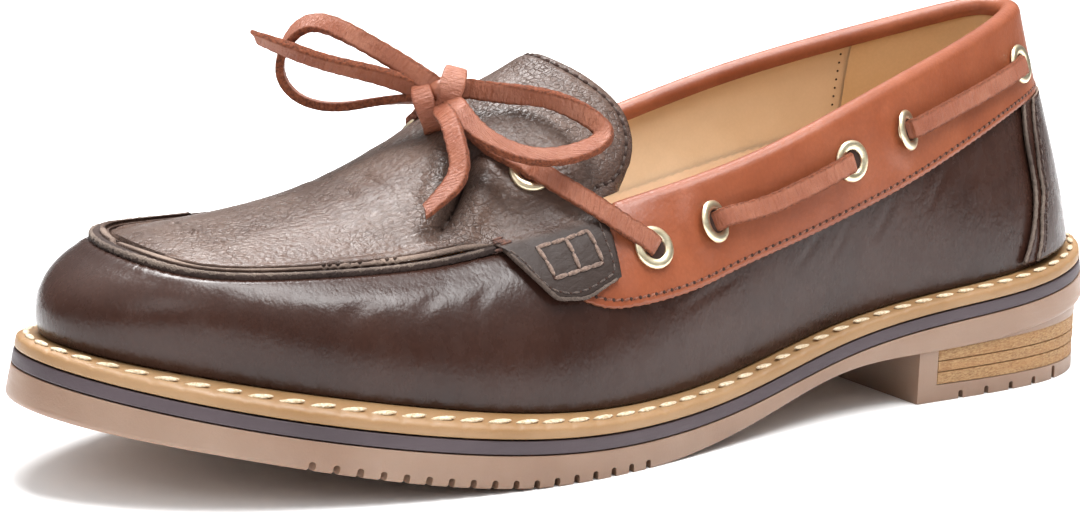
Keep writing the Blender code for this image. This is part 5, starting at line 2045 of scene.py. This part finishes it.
def sewTab(sign):
    def across(spots, count):
        return lineOn(side, [(onSide(q, sign), v) for q, v in spots], count)

    skin = skinsOf("apronTongue")
    kinds = stitchKinds(dark, (1.7, 0.45, 0.35), 0.06, (0.6, 0.5, 0.3))
    sewRow(kinds, skin, *across(seams["tabFrontEdge"], 300), seams["tabPitch"])
    for a, b in seams["paneSides"]:
        line = across([seams["panes"][a], seams["panes"][b]], 12)
        length = np.linalg.norm(line[0][-1] - line[0][0])
        sewRow([(pale, (length * 0.6, 1.05, 0.8), 0.12, 2.0, 0.0)], skin, *line, length / 2)
        sewRow([(needle, (0.9, 0.9, 0.4), 0.02, 0.0, 0.0)], skin, *line, length, 0.0)
    tack = seams["tack"]
    q, v = tack["at"]
    skins = skinsOf("apronTongue", "vampQuarters", "vampLip")
    for i in range(tack["rows"]):
        low = v - tack["step"] * (i - tack["rows"] / 2) * 1.6
        kinds = [(brown, (tack["length"], 0.7, 0.6), 0.1, 3.0 * (-1) ** i, 0.0)]
        sewRow(kinds, skins, *across([(q + 0.045, low), (q - 0.045, low)], 8), 3.4)


def sewBand():
    run = np.arange(-lapLength[-1], lapLength[-1], band["scallopPitch"])
    run = run[np.abs(run) < np.interp(band["front"] - 0.02, fine, lapLength)]
    q = np.sign(run) * np.interp(np.abs(run), lapLength, fine)
    v = bandLow(np.abs(q)) + seams["bandInset"] / wallHeight(q)
    normals = facing(side, q, v)
    places = onSkin(skinsOf("collarBand"), side(q, v), normals)
    stops = lengthsAlong(places) * 1000
    sew(needle, places, normals, stops, (0.85, 0.8, 0.4))
    sew(tan, places, normals, stops[:-1] + band["scallopPitch"] / 2, (1.5, 0.5, 0.4), 0.06, 14.0)


def sewHeel(sign):
    at = np.linspace(0.05, 0.64, 200)
    q = sign * (stripEdgeAt("cover")(at) - 0.07)
    kinds = stitchKinds(dark, (1.8, 0.5, 0.45), 0.06, (0.7, 0.55, 0.3))
    sewRow(kinds, skinsOf("heelStripCover"), side(q, at), facing(side, q, at), seams["heelPitch"])
    at = np.linspace(0.5, 0.95, 80)
    q = sign * (innerLinings["heel"]["at"] + 0.05) + np.zeros(80)
    points = raised(side, q, at, -lining["depth"] - lining["skin"])
    kinds = [(needle, (0.6, 0.6, 0.3), 0.0, 0.0, 0.0)]
    wall = skinsOf("liningHeel", "liningWall")
    sewRow(kinds, wall, points, -facing(side, q, at), seams["liningPitch"])


def sewWelt():
    q = weltSections(np.linspace(0, 1, 1600))
    points = solePoint(q, seams["weltInset"], 0.0, riseAt(q) * 0.4)
    ups = np.tile((0.0, 0.0, 1.0), (len(q), 1))
    kinds = [(cream, (5.5, 1.45, 0.95), 0.12, 0.0, 0.0)]
    sewRow(kinds, skinsOf("weltStrip"), points, ups, sole["stitchPitch"])


dark, tan, cream, pale, brown, needle = (bmesh.new() for _ in range(6))
sewApron()
sewBand()
sewWelt()
for sign in (1, -1):
    sewTab(sign)
    sewHeel(sign)
addPiece("seamThread", dark, "darkThread")
addPiece("bandThread", tan, "tanThread")
addPiece("weltThread", cream, "creamThread")
addPiece("paneThread", pale, "paneThread")
addPiece("tackThread", brown, "tackThread")
# the dark needle holes are painted shade inside each hole
addPiece("needleHoles", needle, "hole")
print("seams")
